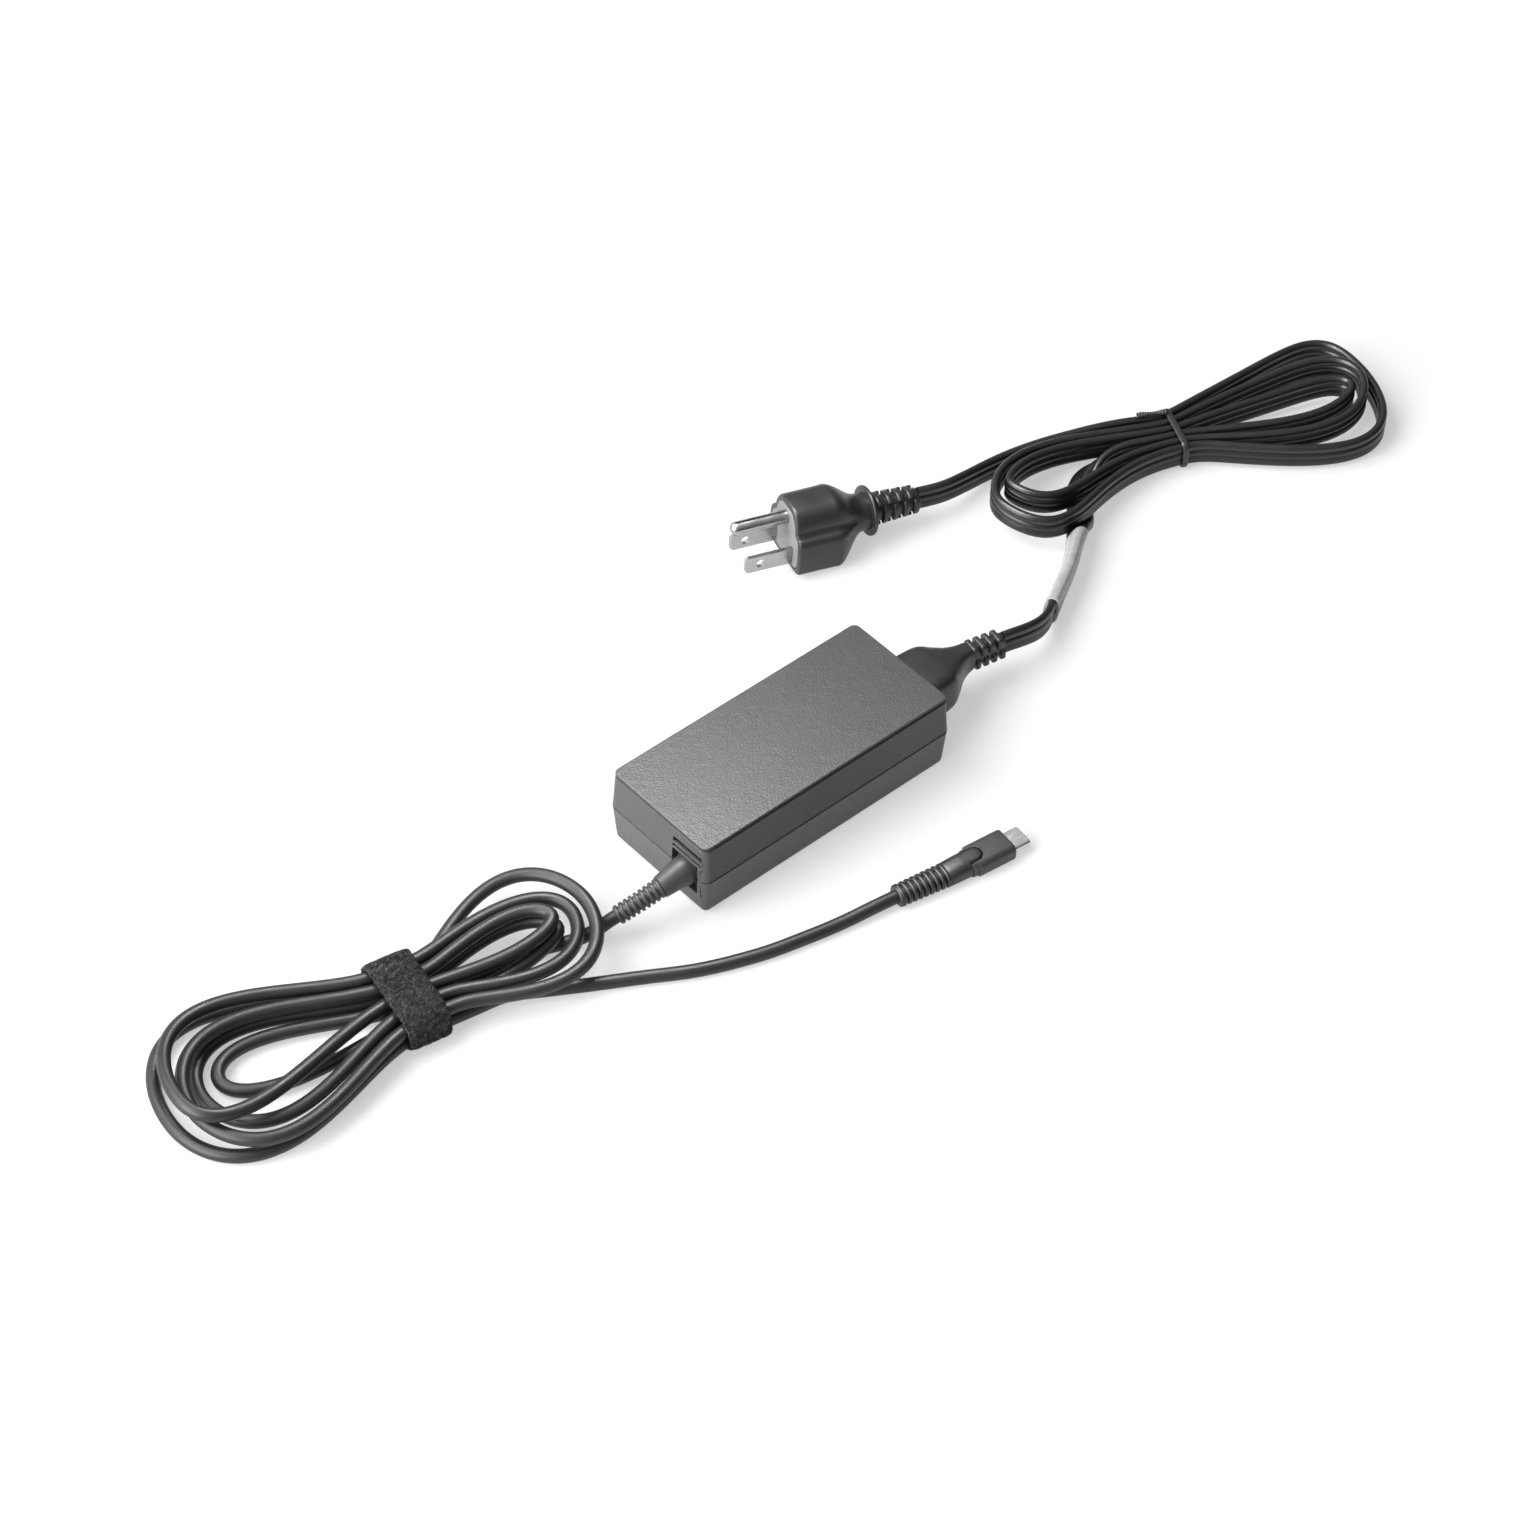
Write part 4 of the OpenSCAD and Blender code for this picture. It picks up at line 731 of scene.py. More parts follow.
cut(bottom_shell, lip_gaps)
posts = [(x, y) for x in (-44.5, 31.5) for y in (-16.5, 16.5)]
inside = pads(base_side, 1.5, PARTING)
inside += [rod((x, y, 1.5), (x, y, 5.5), 2.5, 32) for x, y in posts]
inside += [rod((x, y, 5), (x, y, 7.4), 1.4, 32) for x, y in posts]
inside += [box(38, y - 1, 1.5, 47, y + 1, 5.95) for y in (-7, 5)]
cut(bottom_shell, inside, "UNION")
cut(bottom_shell, openings() + [deeper_window(WINDOW_Z[0] + 0.001, 18)])
jamb = box(OUT_END + 0.3, WINDOW_Y[0] + 0.2, WINDOW_Z[0] - 0.3, OUT_END + 1.8, WINDOW_Y[0] + 1.6, 15.05)
cut(bottom_shell, [bevelled(jamb, 0.25, 2)], "UNION", 30)
painted(bottom_shell, housing_side_lit_copy, ADAPTER, "housing_base", "bottom_shell")
print("bottom shell:", len(bottom_shell.data.polygons), "faces")

# %% [markdown]
# ## A node tree for ribs
# A strain relief is a row of ribs on a slim core: it lets the cord bend in a curve instead of at a point. The
# ribs could be copied by hand and turned one by one. Geometry Nodes does it by rule: it takes a guide line,
# spaces points along it, sets one rib on each, turns it to the line's run, and lets the size grow or shrink
# from the first to the last. Every tree here ends with Realize Instances and Set Material, and is then baked.


# %% Building and running a tree
def tree(name, inputs):
    g = bpy.data.node_groups.new(name, "GeometryNodeTree")
    g.interface.new_socket("Geometry", in_out="INPUT", socket_type="NodeSocketGeometry")
    for label, kind, value in inputs:
        s = g.interface.new_socket(label, in_out="INPUT", socket_type=kind)
        if value is not None:
            s.default_value = value
    g.interface.new_socket("Geometry", in_out="OUTPUT", socket_type="NodeSocketGeometry")
    return g, g.nodes.new("NodeGroupInput"), g.nodes.new("NodeGroupOutput")


def new_nodes(g, *kinds):
    return [g.nodes.new(k) for k in kinds]


def chain(g, *pairs):
    for a, b in pairs:
        g.links.new(a, b)


def real_and_painted(g, gi, instances):
    real, paint = new_nodes(g, "GeometryNodeRealizeInstances", "GeometryNodeSetMaterial")
    chain(g, (instances, real.inputs["Geometry"]), (real.outputs["Geometry"], paint.inputs["Geometry"]),
          (gi.outputs["Material"], paint.inputs["Material"]))
    return paint.outputs["Geometry"]


def with_tree(o, g, values):
    """Runs the tree on the object with these inputs and keeps the result as its mesh."""
    m = o.modifiers.new(g.name, "NODES")
    m.node_group = g
    for item in g.interface.items_tree:
        if item.in_out == "INPUT" and item.name in values:
            m[item.identifier] = values[item.name]
    return baked(o)


OBJ, MAT, NUM, INT = "NodeSocketObject", "NodeSocketMaterial", "NodeSocketFloat", "NodeSocketInt"
print("an input is an object, a material, a number or a whole number:", OBJ[10:], MAT[10:], NUM[10:], INT[10:])

# %% The tree of ribs
ribs, gi, go = tree("ribs", [("Rib", OBJ, None), ("Material", MAT, None), ("Count", INT, 9),
                             ("Start width", NUM, 1.0), ("End width", NUM, 1.0),
                             ("Start height", NUM, 1.0), ("End height", NUM, 1.0)])
line, pts, info, inst = new_nodes(ribs, "GeometryNodeMeshToCurve", "GeometryNodeCurveToPoints",
                                  "GeometryNodeObjectInfo", "GeometryNodeInstanceOnPoints")
turn, index, share, size, less = new_nodes(ribs, "FunctionNodeAlignRotationToVector", "GeometryNodeInputIndex",
                                           "ShaderNodeMath", "ShaderNodeCombineXYZ", "ShaderNodeMath")
turn.axis = "X"
share.operation, less.operation = "DIVIDE", "SUBTRACT"
less.inputs[1].default_value = 1
size.inputs["X"].default_value = 1
chain(ribs, (gi.outputs["Geometry"], line.inputs["Mesh"]), (line.outputs["Curve"], pts.inputs["Curve"]),
      (gi.outputs["Count"], pts.inputs["Count"]), (pts.outputs["Points"], inst.inputs["Points"]),
      (gi.outputs["Rib"], info.inputs["Object"]), (info.outputs["Geometry"], inst.inputs["Instance"]),
      (pts.outputs["Tangent"], turn.inputs["Vector"]), (turn.outputs["Rotation"], inst.inputs["Rotation"]),
      (index.outputs["Index"], share.inputs[0]), (gi.outputs["Count"], less.inputs[0]),
      (less.outputs["Value"], share.inputs[1]))
for axis, first, last in (("Y", "Start width", "End width"), ("Z", "Start height", "End height")):
    mix = ribs.nodes.new("ShaderNodeMapRange")
    chain(ribs, (share.outputs["Value"], mix.inputs["Value"]), (gi.outputs[first], mix.inputs["To Min"]),
          (gi.outputs[last], mix.inputs["To Max"]), (mix.outputs["Result"], size.inputs[axis]))
chain(ribs, (size.outputs["Vector"], inst.inputs["Scale"]),
      (real_and_painted(ribs, gi, inst.outputs["Instances"]), go.inputs["Geometry"]))
print("tree of ribs:", len(ribs.nodes), "nodes")


# %% A guide and a rib
def guide(points):
    """A line of edges through the points."""
    me = bpy.data.meshes.new("guide")
    edges = [(i, i + 1) for i in range(len(points) - 1)]
    me.from_pydata((np.asarray(points)[:, :3] * MM).tolist(), edges, [])
    o = bpy.data.objects.new("guide", me)
    SCENE.collection.objects.link(o)
    return o


RIB_RIM = [(-0.5, 0.94), (-0.36, 0.985), (-0.15, 1.0), (0.15, 1.0), (0.36, 0.985), (0.5, 0.94)]


def rib_ring(outer, hole, size):
    """A rib across X with the outline `outer`, a rounded rim and a hole of the given share."""
    profile = [(-0.5, hole)] + RIB_RIM + [(0.5, hole)]
    rings = [np.hstack([np.full((len(outer), 1), x), outer * s]) for x, s in profile]
    rib = make("rib", skin(rings + [rings[0]], caps=False), 50)
    rib.data.transform(Matrix.Diagonal((*size, 1)))
    return rib


print("a rib's rim has", len(RIB_RIM), "rings")

# %% [markdown]
# ## The output cord's relief
# The cord leaves the housing through a moulded relief. Its neck and flange sit in the wall and can't be pulled
# out. Outside, a smooth cone carries nine ribs down to the cord. The cone is one swept skin with a radius at
# every station, and the tree sets the ribs where the core is slim. A near-black plate, painted shade, closes
# the window behind the ledges, so that no light falls into the housing and the gaps between them stay dark.

# %% The relief's cone and ribs
RELIEF_STEPS, CORD_Z = 16, 8.6
relief_line = [(-51.3, -14, 1, 5), (-54, -14, 1, 4.9), (-58, -13.9, 0.93, 4.3), (-62, -13.8, 0.83, 3.8),
               (-66, -13.3, 0.68, 3.4), (-70, -12.5, 0.48, 3.3), (-73.5, -11.5, 0.26, 3.3), (-77, -10.3, 0, 3.2)]
relief = curve_through([(x, y, CORD_Z + (PARTING - CORD_Z) * f, r) for x, y, f, r in relief_line], RELIEF_STEPS)
cone_end = 3 * RELIEF_STEPS + 2
radii = relief[:, 3].copy()
radii[:4] += [-0.15, 0.12, 0.12, 0.072]  # a soft collar at the wall
radii[cone_end:] -= 0.75  # the slim core between the ribs
radii[-2:] = [3.0, 2.9]  # the core's end, rounded towards the cord
cone = make("cone", skin(swept(relief[:, :3], circle(1, 40)[None] * radii[:, None, None])), 40)
rib = rib_ring(circle(1.0, 40), 0.6, (1.05, 3.42, 3.42))
dc_ribs = with_tree(guide(relief[cone_end + 2:len(relief) - 3, :3]), ribs, {
    "Rib": rib, "Material": relief_plastic, "Count": 9, "Start width": 1.0, "End width": 0.95,
    "Start height": 1.0, "End height": 0.95})
finished(dc_ribs, 45)
bpy.data.objects.remove(rib)
print("relief:", round(run_length(relief), 1), "mm long with its ribs")


# %% The relief in the wall
def joined(name, objects):
    """One object from several, each with its own materials."""
    me, bm, slots = bpy.data.meshes.new(name), bmesh.new(), []
    for o in objects:
        part = o.data.copy()
        part.transform(o.matrix_world)
        remap = []
        for m in part.materials:
            if m not in slots:
                slots.append(m)
            remap.append(slots.index(m))
        start = len(bm.faces)
        bm.from_mesh(part)
        bm.faces.ensure_lookup_table()
        for f in bm.faces[start:]:
            f.material_index = remap[min(f.material_index, len(remap) - 1)] if remap else 0
        bpy.data.objects.remove(o)
    bm.to_mesh(me)
    bm.free()
    for m in slots:
        me.materials.append(m)
    out = bpy.data.objects.new(name, me)
    SCENE.collection.objects.link(out)
    return out


neck = rod((OUT_END + 0.8, CORD_Y, PARTING), (OUT_END + 4.3, CORD_Y, PARTING), 4.5, 48)
# The plate is painted shade: a near-black sheet that darkens the gaps behind the ledges.
plate = bevelled(box(OUT_END + 1.9, WINDOW_Y[0] + 0.1, WINDOW_Z[0] + 0.1,
                     OUT_END + 2.4, WINDOW_Y[1] - 0.1, 25.2), 0.1, 2)
plate.data.materials.append(painted_shade_black)
flange = box(OUT_END + 3.35, -20.5, 9, OUT_END + 5.35, -7.5, 21.6)
for o in (cone, neck, flange):
    o.data.materials.append(relief_plastic)
dc_relief = joined("dc_relief", [cone, dc_ribs, neck, flange, plate])
attached(dc_relief, ADAPTER, "black_plastic", "dc_strain_relief")
print("output relief:", len(dc_relief.data.polygons), "faces")

# %% [markdown]
# ## USB plug
# The plug's body is a flat moulding with rounded corners and a step at its back. A subdivided box would round
# every edge alike, while here the long edges are round and the ends are almost square. So it is a row of
# rounded sections across its length, close together where an edge turns. The steel shell is made the same
# way: its sections go out to the mouth, roll over the lip and come back inside.


# %% Sections across a bar
def bar_rings(stations, n=8):
    """Rounded sections across X. Each station is x, width, height and corner radius."""
    return [np.hstack([np.full((4 * (n + 1), 1), x), rounded(w, h, r, n)]) for x, w, h, r in stations]


def pill(length, width, z0, z1, soft, n=16):
    """A bar along X from x = 0 with a round far end and a soft top edge."""
    def outline(d):
        r, c = width / 2 - d, length - width / 2
        pts = [(c + r * math.cos(k), r * math.sin(k)) for k in np.radians(np.linspace(-90, 90, n))]
        return np.array([(0.0, -r)] + pts + [(0.0, r)])
    levels = [(0, z0), (0, z1 - soft), (soft * 0.13, z1 - soft * 0.5), (soft * 0.5, z1 - soft * 0.13), (soft, z1)]
    return [np.hstack([outline(d), np.full((n + 2, 1), z)]) for d, z in levels]


usb = Matrix.Translation((23.6, -61.9, 3.3)) @ Matrix.Rotation(math.radians(-7), 4, "Z")
print("USB plug at", [round(c, 1) for c in usb.translation], "mm")

# %% The plug's body and shell
usb_body = make("usb_body", skin(bar_rings([
    (0, 8.4, 5.9, 1.8), (0.12, 8.8, 6.3, 1.95), (0.4, 9.0, 6.5, 2.0), (2.1, 9.0, 6.5, 2.0), (2.15, 9.05, 6.5, 2.0),
    (2.2, 10.5, 6.5, 2.1), (2.32, 10.8, 6.5, 2.2), (2.7, 10.8, 6.5, 2.2), (15.4, 10.8, 6.5, 2.2),
    (15.8, 10.7, 6.4, 2.15), (16.05, 10.45, 6.15, 2.05), (16.2, 9.9, 5.6, 1.9), (16.2, 8.6, 3.2, 1.4)])), 40)
tongue_slot = make("slot", skin(pill(5.95, 5.95, 1.75, 5, 0.1)))
pocket = make("pocket", skin(bar_rings([(13.2, 8.35, 2.5, 1.24), (17, 8.35, 2.5, 1.24)])))
placed(cut(usb_body, [tongue_slot, pocket], sharp=35), usb)
painted(usb_body, usb_plastic, ADAPTER, "black_plastic", "usb_plug_body")

lip = [(13.25, 8.25, 2.4, 1.18), (22.2, 8.25, 2.4, 1.18), (22.45, 8.2, 2.35, 1.16), (22.58, 8.08, 2.23, 1.1),
       (22.6, 7.95, 2.1, 1.03), (22.52, 7.75, 1.9, 0.94), (22.2, 7.65, 1.8, 0.89), (13.7, 7.65, 1.8, 0.89)]
usb_shell = placed(make("usb_shell", skin(bar_rings(lip, 12)), 40), usb)
painted(usb_shell, shell_steel, ADAPTER, "nickel_steel", "usb_plug_shell")
print("plug body and shell:", len(usb_body.data.polygons), len(usb_shell.data.polygons), "faces")

# %% [markdown]
# ### The USB plug's relief
# Its ribs are ovals that grow a little towards the plug. Past the last rib the core swells into a smooth
# crown, and a tongue with a round end lies in a slot of the body's top. The core is one skin: slim between
# the ribs, then full, with its upper half raised into the crown.


# %% The USB plug's relief
def oval(a, b, power, n):
    """A superellipse: power 2 is an ellipse, and a higher power is squarer."""
    t = 2 * np.pi * np.arange(n) / n
    c, s = np.cos(t), np.sin(t)
    return np.stack([a * np.sign(c) * abs(c) ** (2 / power), b * np.sign(s) * abs(s) ** (2 / power)], 1)


usb_line = curve_through([(-2.4, -57.5, 3.3), (2, -58.3, 3.3), (7, -59.2, 3.3), (12, -60.1, 3.3), (17, -61, 3.3),
                          (23.4, -61.87, 3.3)], RELIEF_STEPS)
u = np.arange(len(usb_line)) / RELIEF_STEPS
RIBBED = 3.75
widths = np.where(u < RIBBED, 2.85, 3.83 + 0.11 * u)
heights = np.where(u < RIBBED, 2.3, 3.1)
widths[0:3], heights[0:3] = [3.4, 3.7, 3.78], [2.7, 3.0, 3.05]
crown = 1 + 0.2 * np.clip((u - RIBBED) / 0.9, 0, 1) ** 0.8
sections = np.stack([oval(w, h, 2.6, 48) for w, h in zip(widths, heights)])
sections[..., 1] = np.where(sections[..., 1] > 0, sections[..., 1] * crown[:, None], sections[..., 1])
usb_core = make("usb_core", skin(swept(usb_line, sections)), 45)
rib = rib_ring(oval(1, 1, 2.6, 48), 0.7, (1.25, 3.82, 3.12))
usb_ribs = finished(with_tree(guide(usb_line[5:59]), ribs, {
    "Rib": rib, "Material": usb_rubber, "Count": 9, "Start width": 1.0, "End width": 1.125}), 45)
bpy.data.objects.remove(rib)
tongue = placed(make("tongue", skin(pill(5.9, 5.3, 1.9, 3.78, 0.8)), 45), usb @ Matrix.Translation((-0.4, 0, 0)))
for o in (usb_core, tongue):
    o.data.materials.append(usb_rubber)
usb_relief = joined("usb_relief", [usb_core, usb_ribs, tongue])
attached(usb_relief, ADAPTER, "black_plastic", "usb_strain_relief")
print("USB relief:", len(usb_relief.data.polygons), "faces")

# %% [markdown]
# ## A node tree for staggered blocks
# The reliefs of the mains cord are made of short blocks on two sides of a core, each row half a step behind
# the other, so that the cord bends both ways. The second tree sets one block in a straight row and makes each
# next one a little smaller. Run twice with a shift between, it gives the staggered pattern.

# %% The tree of blocks
row, gi, go = tree("row", [("Block", OBJ, None), ("Material", MAT, None), ("Count", INT, 4),
                           ("Pitch", NUM, 0.003), ("Shrink", NUM, 1.0)])
line, inst, info, step = new_nodes(row, "GeometryNodeMeshLine", "GeometryNodeInstanceOnPoints",
                                   "GeometryNodeObjectInfo", "ShaderNodeCombineXYZ")
index, power, size = new_nodes(row, "GeometryNodeInputIndex", "ShaderNodeMath", "ShaderNodeCombineXYZ")
power.operation = "POWER"
size.inputs["X"].default_value = 1
chain(row, (gi.outputs["Count"], line.inputs["Count"]), (gi.outputs["Pitch"], step.inputs["X"]),
      (step.outputs["Vector"], line.inputs["Offset"]), (line.outputs["Mesh"], inst.inputs["Points"]),
      (gi.outputs["Block"], info.inputs["Object"]), (info.outputs["Geometry"], inst.inputs["Instance"]),
      (gi.outputs["Shrink"], power.inputs[0]), (index.outputs["Index"], power.inputs[1]),
      (power.outputs["Value"], size.inputs["Y"]), (power.outputs["Value"], size.inputs["Z"]),
      (size.outputs["Vector"], inst.inputs["Scale"]),
      (real_and_painted(row, gi, inst.outputs["Instances"]), go.inputs["Geometry"]))


def block_row(block, pitch, shrink, place):
    """Four copies of the block, a pitch apart, put in their place."""
    o = with_tree(guide([(0, 0, 0), (1, 0, 0)]), row, {
        "Block": block, "Material": black_plastic, "Count": 4, "Pitch": pitch * MM, "Shrink": shrink})
    bpy.data.objects.remove(block)
    return placed(finished(o, 50), place)


print("tree of blocks:", len(row.nodes), "nodes")

# %% [markdown]
# ## Appliance connector
# This is the coupler on the mains cord. Its grip is a squarish oval that narrows into a flat relief, and its
# nose is three round lobes that reach into the inlet, each with a bore for a pin. The grip is a skin of ovals
# whose power falls as they narrow, which makes them rounder. The lobes are three rods joined by a Boolean,
# with their bores cut out of them.

# %% The connector's grip and nose
GRIP_N = 72
grip = curve_through([(0.9, 11, 8.5, 0, 0, 5), (7, 11, 8.5, 0, 0, 5), (13, 10.56, 8.1, 0, 0, 4.4),
                      (17, 8.6, 7.05, 0.1, -0.3, 3.6), (21, 6.05, 6.0, 0.25, -0.6, 3.2),
                      (25, 4.3, 5.35, 0.4, -0.9, 3.2), (28.5, 3.63, 4.93, 0.45, -1, 3.2)], 10)
front_edge = [(0, 10.3, 7.8, 0, 0, 5), (0.12, 10.7, 8.2, 0, 0, 5), (0.4, 10.93, 8.43, 0, 0, 5)]
rings = [np.hstack([np.full((GRIP_N, 1), x), oval(a, c, power, GRIP_N) + (dy, dz)])
         for x, a, c, dy, dz, power in front_edge + grip.tolist()]
at_inlet = Matrix.Translation((53.0, -1.0, 13.5))
ac_grip = placed(make("grip", skin(rings), 45), at_inlet)
lobes = [(-5, -1.4), (5, -1.4), (0, 2.2)]
lobe_rods = [rod((-12, y, z), (1, y, z), 4.0, 48) for y, z in lobes]
ac_nose = bevelled(cut(lobe_rods[0], lobe_rods[1:], "UNION"), 0.3, 2)
cut(ac_nose, [rod((-11.2, y, z), (0.5, y, z), 2.15, 40) for y, z in lobes]
    + [rod((-13, y, z), (-11, y, z), 1.5, 40) for y, z in lobes])
placed(ac_nose, at_inlet)
print("grip and nose:", len(ac_grip.data.polygons), len(ac_nose.data.polygons), "faces")

# %% The connector's relief
bend = at_inlet @ Matrix.Translation((27.5, 0.55, -1.0)) @ Matrix.Rotation(math.radians(-11.3), 4, "Z")
ac_core = make("core", skin(bar_rings([(0, 5.4, 8.4, 2.4), (13.8, 5.0, 8.0, 2.3), (14.05, 4.8, 7.8, 2.2),
                                       (14.1, 4.4, 7.4, 2.0)])), 40)
placed(ac_core, bend)
rows = []
for side, shift in ((1, 0.0), (-1, 1.5)):
    block = make("block", skin(bar_rings([
        (0, 6.3, 4.2, 1.1), (0.15, 6.7, 4.55, 1.25), (0.4, 6.9, 4.7, 1.35), (1.35, 6.9, 4.7, 1.35),
        (1.6, 6.7, 4.55, 1.25), (1.75, 6.3, 4.2, 1.1)])), 50)
    rows.append(block_row(block, 3.2, 0.985, bend @ Matrix.Translation((1.2 + shift, 0, side * 2.62))))
for o in (ac_grip, ac_nose, ac_core):
    o.data.materials.append(black_plastic)
ac_connector = joined("ac_connector_dressed", [ac_grip, ac_nose, ac_core] + rows)
attached(ac_connector, CORD_SET, "black_plastic", "ac_connector")
print("appliance connector:", len(ac_connector.data.polygons), "faces")

# %% [markdown]
# ## Mains plug
# The grounded plug has a face like a rounded house front. Its body keeps that outline for a grip and then
# flows into a round neck with a collar. A loft between two different outlines twists if their points don't
# match, so one outline serves all the way: each ring is the same points, drawn towards a circle by a blend
# that eases in and out.

# %% The plug's place and outline
plug = (Matrix.Translation((75, 83.5, 7.4)) @ Matrix.Rotation(math.radians(163), 4, "Z")
        @ Matrix.Rotation(math.radians(-4), 4, "Y") @ Matrix.Rotation(math.radians(1), 4, "X"))
AXIS_Z, OUTLINE_STEPS = 5.7, 5
half = [(5.5, -6.1), (10.2, -5.9), (12.2, -4.7), (12.8, -2.4), (12.9, 1.5), (12.5, 5.5), (12.2, 7.2), (11.4, 8.5),
        (10, 9.3), (9.1, 10.6), (8.8, 12.2), (8.2, 14), (6.8, 16.2), (4.4, 17.6), (1.6, 18.1)]
loop = [(0, -6.16)] + half + [(-y, z) for y, z in reversed(half)]
plug_outline = curve_through(loop[-2:] + loop + loop[:2], OUTLINE_STEPS)[2 * OUTLINE_STEPS:-3 * OUTLINE_STEPS]


def plug_ring(s, size, blend, r):
    """The outline s behind the face, scaled by size and drawn towards a circle of radius r by blend."""
    d = plug_outline - (0, AXIS_Z)
    q = (0, AXIS_Z) + d * size * (1 - blend) + d / np.linalg.norm(d, axis=1)[:, None] * r * blend
    return np.hstack([np.full((len(q), 1), -s), q])


print("plug outline:", len(plug_outline), "points,", np.ptp(plug_outline, axis=0).round(1), "mm")


# %% The plug's body
def ease(x):
    x = min(max(x, 0), 1)
    return x * x * (3 - 2 * x)


stations = [(0, 0.955, 0, 7), (0.12, 0.972, 0, 7), (0.4, 0.987, 0, 7), (0.8, 0.996, 0, 7), (1.4, 1, 0, 7),
            (8, 1, 0, 7)]
stations += [(s, 1 + 0.012 * math.sin(math.pi * ease((s - 12) / 8)), ease((s - 15.3) / 11.7),
              7.1 - 0.45 * ease((s - 17) / 12)) for s in np.linspace(14, 30.5, 24)]
stations += [(30.8, 1, 1, 6.6)]
plug_body = make("plug_body", skin([plug_ring(*v) for v in stations]), 45)
cut(plug_body, [make("pocket", skin([plug_ring(s, 0.84, 0, 0) for s in (6.05, -1)]))], sharp=45)
print("plug body:", len(plug_body.data.polygons), "faces")

# %% [markdown]
# ### The mains plug's relief
# Behind the collar, quarter rings stand on a round core: two above and below, then two left and right, and so
# on. The collar and the core are turned shapes, a profile spun about the plug's axis. A quarter ring is the
# rim's profile swept through a little less than 90 degrees, and the tree repeats it four times.


# %% The plug's collar and relief
def turned(profile, n=64):
    """A turned piece about the plug's axis. Each point is s behind the face and a radius."""
    c = circle(1, n)
    return [np.hstack([np.full((n, 1), -s), c * r + (0, AXIS_Z)]) for s, r in profile]


collar = make("collar", skin(turned([(29.7, 6.5), (29.75, 8.2), (29.85, 8.6), (30.1, 8.85), (30.5, 8.93),
                                     (30.9, 8.85), (31.15, 8.6), (31.3, 8.1), (31.35, 5.2)])), 50)
plug_core = make("core", skin(turned([(30.5, 4.6), (49.1, 3.95), (49.4, 3.8), (49.5, 3.5)])), 50)
quarter = [(0, 3.4), (0, 5.35), (0.12, 5.58), (0.35, 5.7), (1.45, 5.7), (1.7, 5.58), (1.82, 5.35), (1.82, 3.4)]
blocks = []
for s in (0, 1):
    for half_turn in (0, 180):
        angles = np.radians(np.linspace(4, 86, 12)) + math.radians(45 + 90 * s + half_turn)
        rings = [np.array([(x, r * math.cos(a), r * math.sin(a)) for x, r in quarter]) for a in angles]
        blocks.append(block_row(make("block", skin(rings), 50), -4, 0.962,
                                Matrix.Translation((-34.75 - 2 * s, 0, AXIS_Z))))
for o in (plug_body, collar, plug_core):
    o.data.materials.append(black_plastic)
plug_body = placed(joined("mains_plug_dressed", [plug_body, collar, plug_core] + blocks), plug)
attached(plug_body, CORD_SET, "black_plastic", "mains_plug_body")
print("mains plug:", len(plug_body.data.polygons), "faces")

# %% [markdown]
# ### Face and ground pin
# A lighter plate fills the front and carries the two flat blades and the round ground pin. The plate is the
# outline again, a little smaller, with three openings cut through it. The pin is rolled from sheet metal: it
# has a domed tip and a seam along its top, which is a bevelled bar cut out of a turned shape.

# %% Face and ground pin
BLADE_Y, PIN_Z, PIN_R, PIN_END = 6.35, 11.9, 2.38, 18.6
face_stations = [(6, 0.83), (0.1, 0.83), (-0.08, 0.824), (-0.15, 0.81), (-0.15, 0.79)]
plug_face = make("mains_plug_face", skin([plug_ring(s, z, 0, 0) for s, z in face_stations]), 45)
holes = [box(-5.5, y - 0.8, -3.225, 1, y + 0.8, 3.225) for y in (-BLADE_Y, BLADE_Y)]
holes.append(rod((-5.5, 0, PIN_Z), (1, 0, PIN_Z), 2.45, 40))
placed(cut(plug_face, holes, sharp=40), plug)
painted(plug_face, grey_plastic, CORD_SET, "grey_plastic", "plug_face")

dome = [(PIN_END + PIN_R * math.sin(a), PIN_R * math.cos(a)) for a in np.radians(np.linspace(0, 84, 9))]
pin_rings = [np.hstack([np.full((48, 1), x), circle(r, 48) + (0, PIN_Z)])
             for x, r in [(-5, 2.05), (0.18, 2.05), (0.2, PIN_R)] + dome]
ground_pin = make("pin", skin(pin_rings), 30)
seam = bevelled(box(0.6, -0.4, 12.9, 19.4, 0.4, 15.5), 0.2, 2)
placed(cut(ground_pin, [seam], sharp=30), plug)
painted(ground_pin, nickel, CORD_SET, "nickel_brass", "ground_pin")
print("face and pin:", len(plug_face.data.polygons), len(ground_pin.data.polygons), "faces")

# %% [markdown]
# ## A node tree for looped cloth
# A hook-and-loop strap is covered with small loops of yarn. Hair strands could show them, but a strand isn't
# a mesh, and the piece has to be one. The third tree strews points over the outside of the band with a fixed
# seed, and sets a tiny loop on each, tilted and turned at random. Its yarn has only three sides, because there
# are thousands of loops.


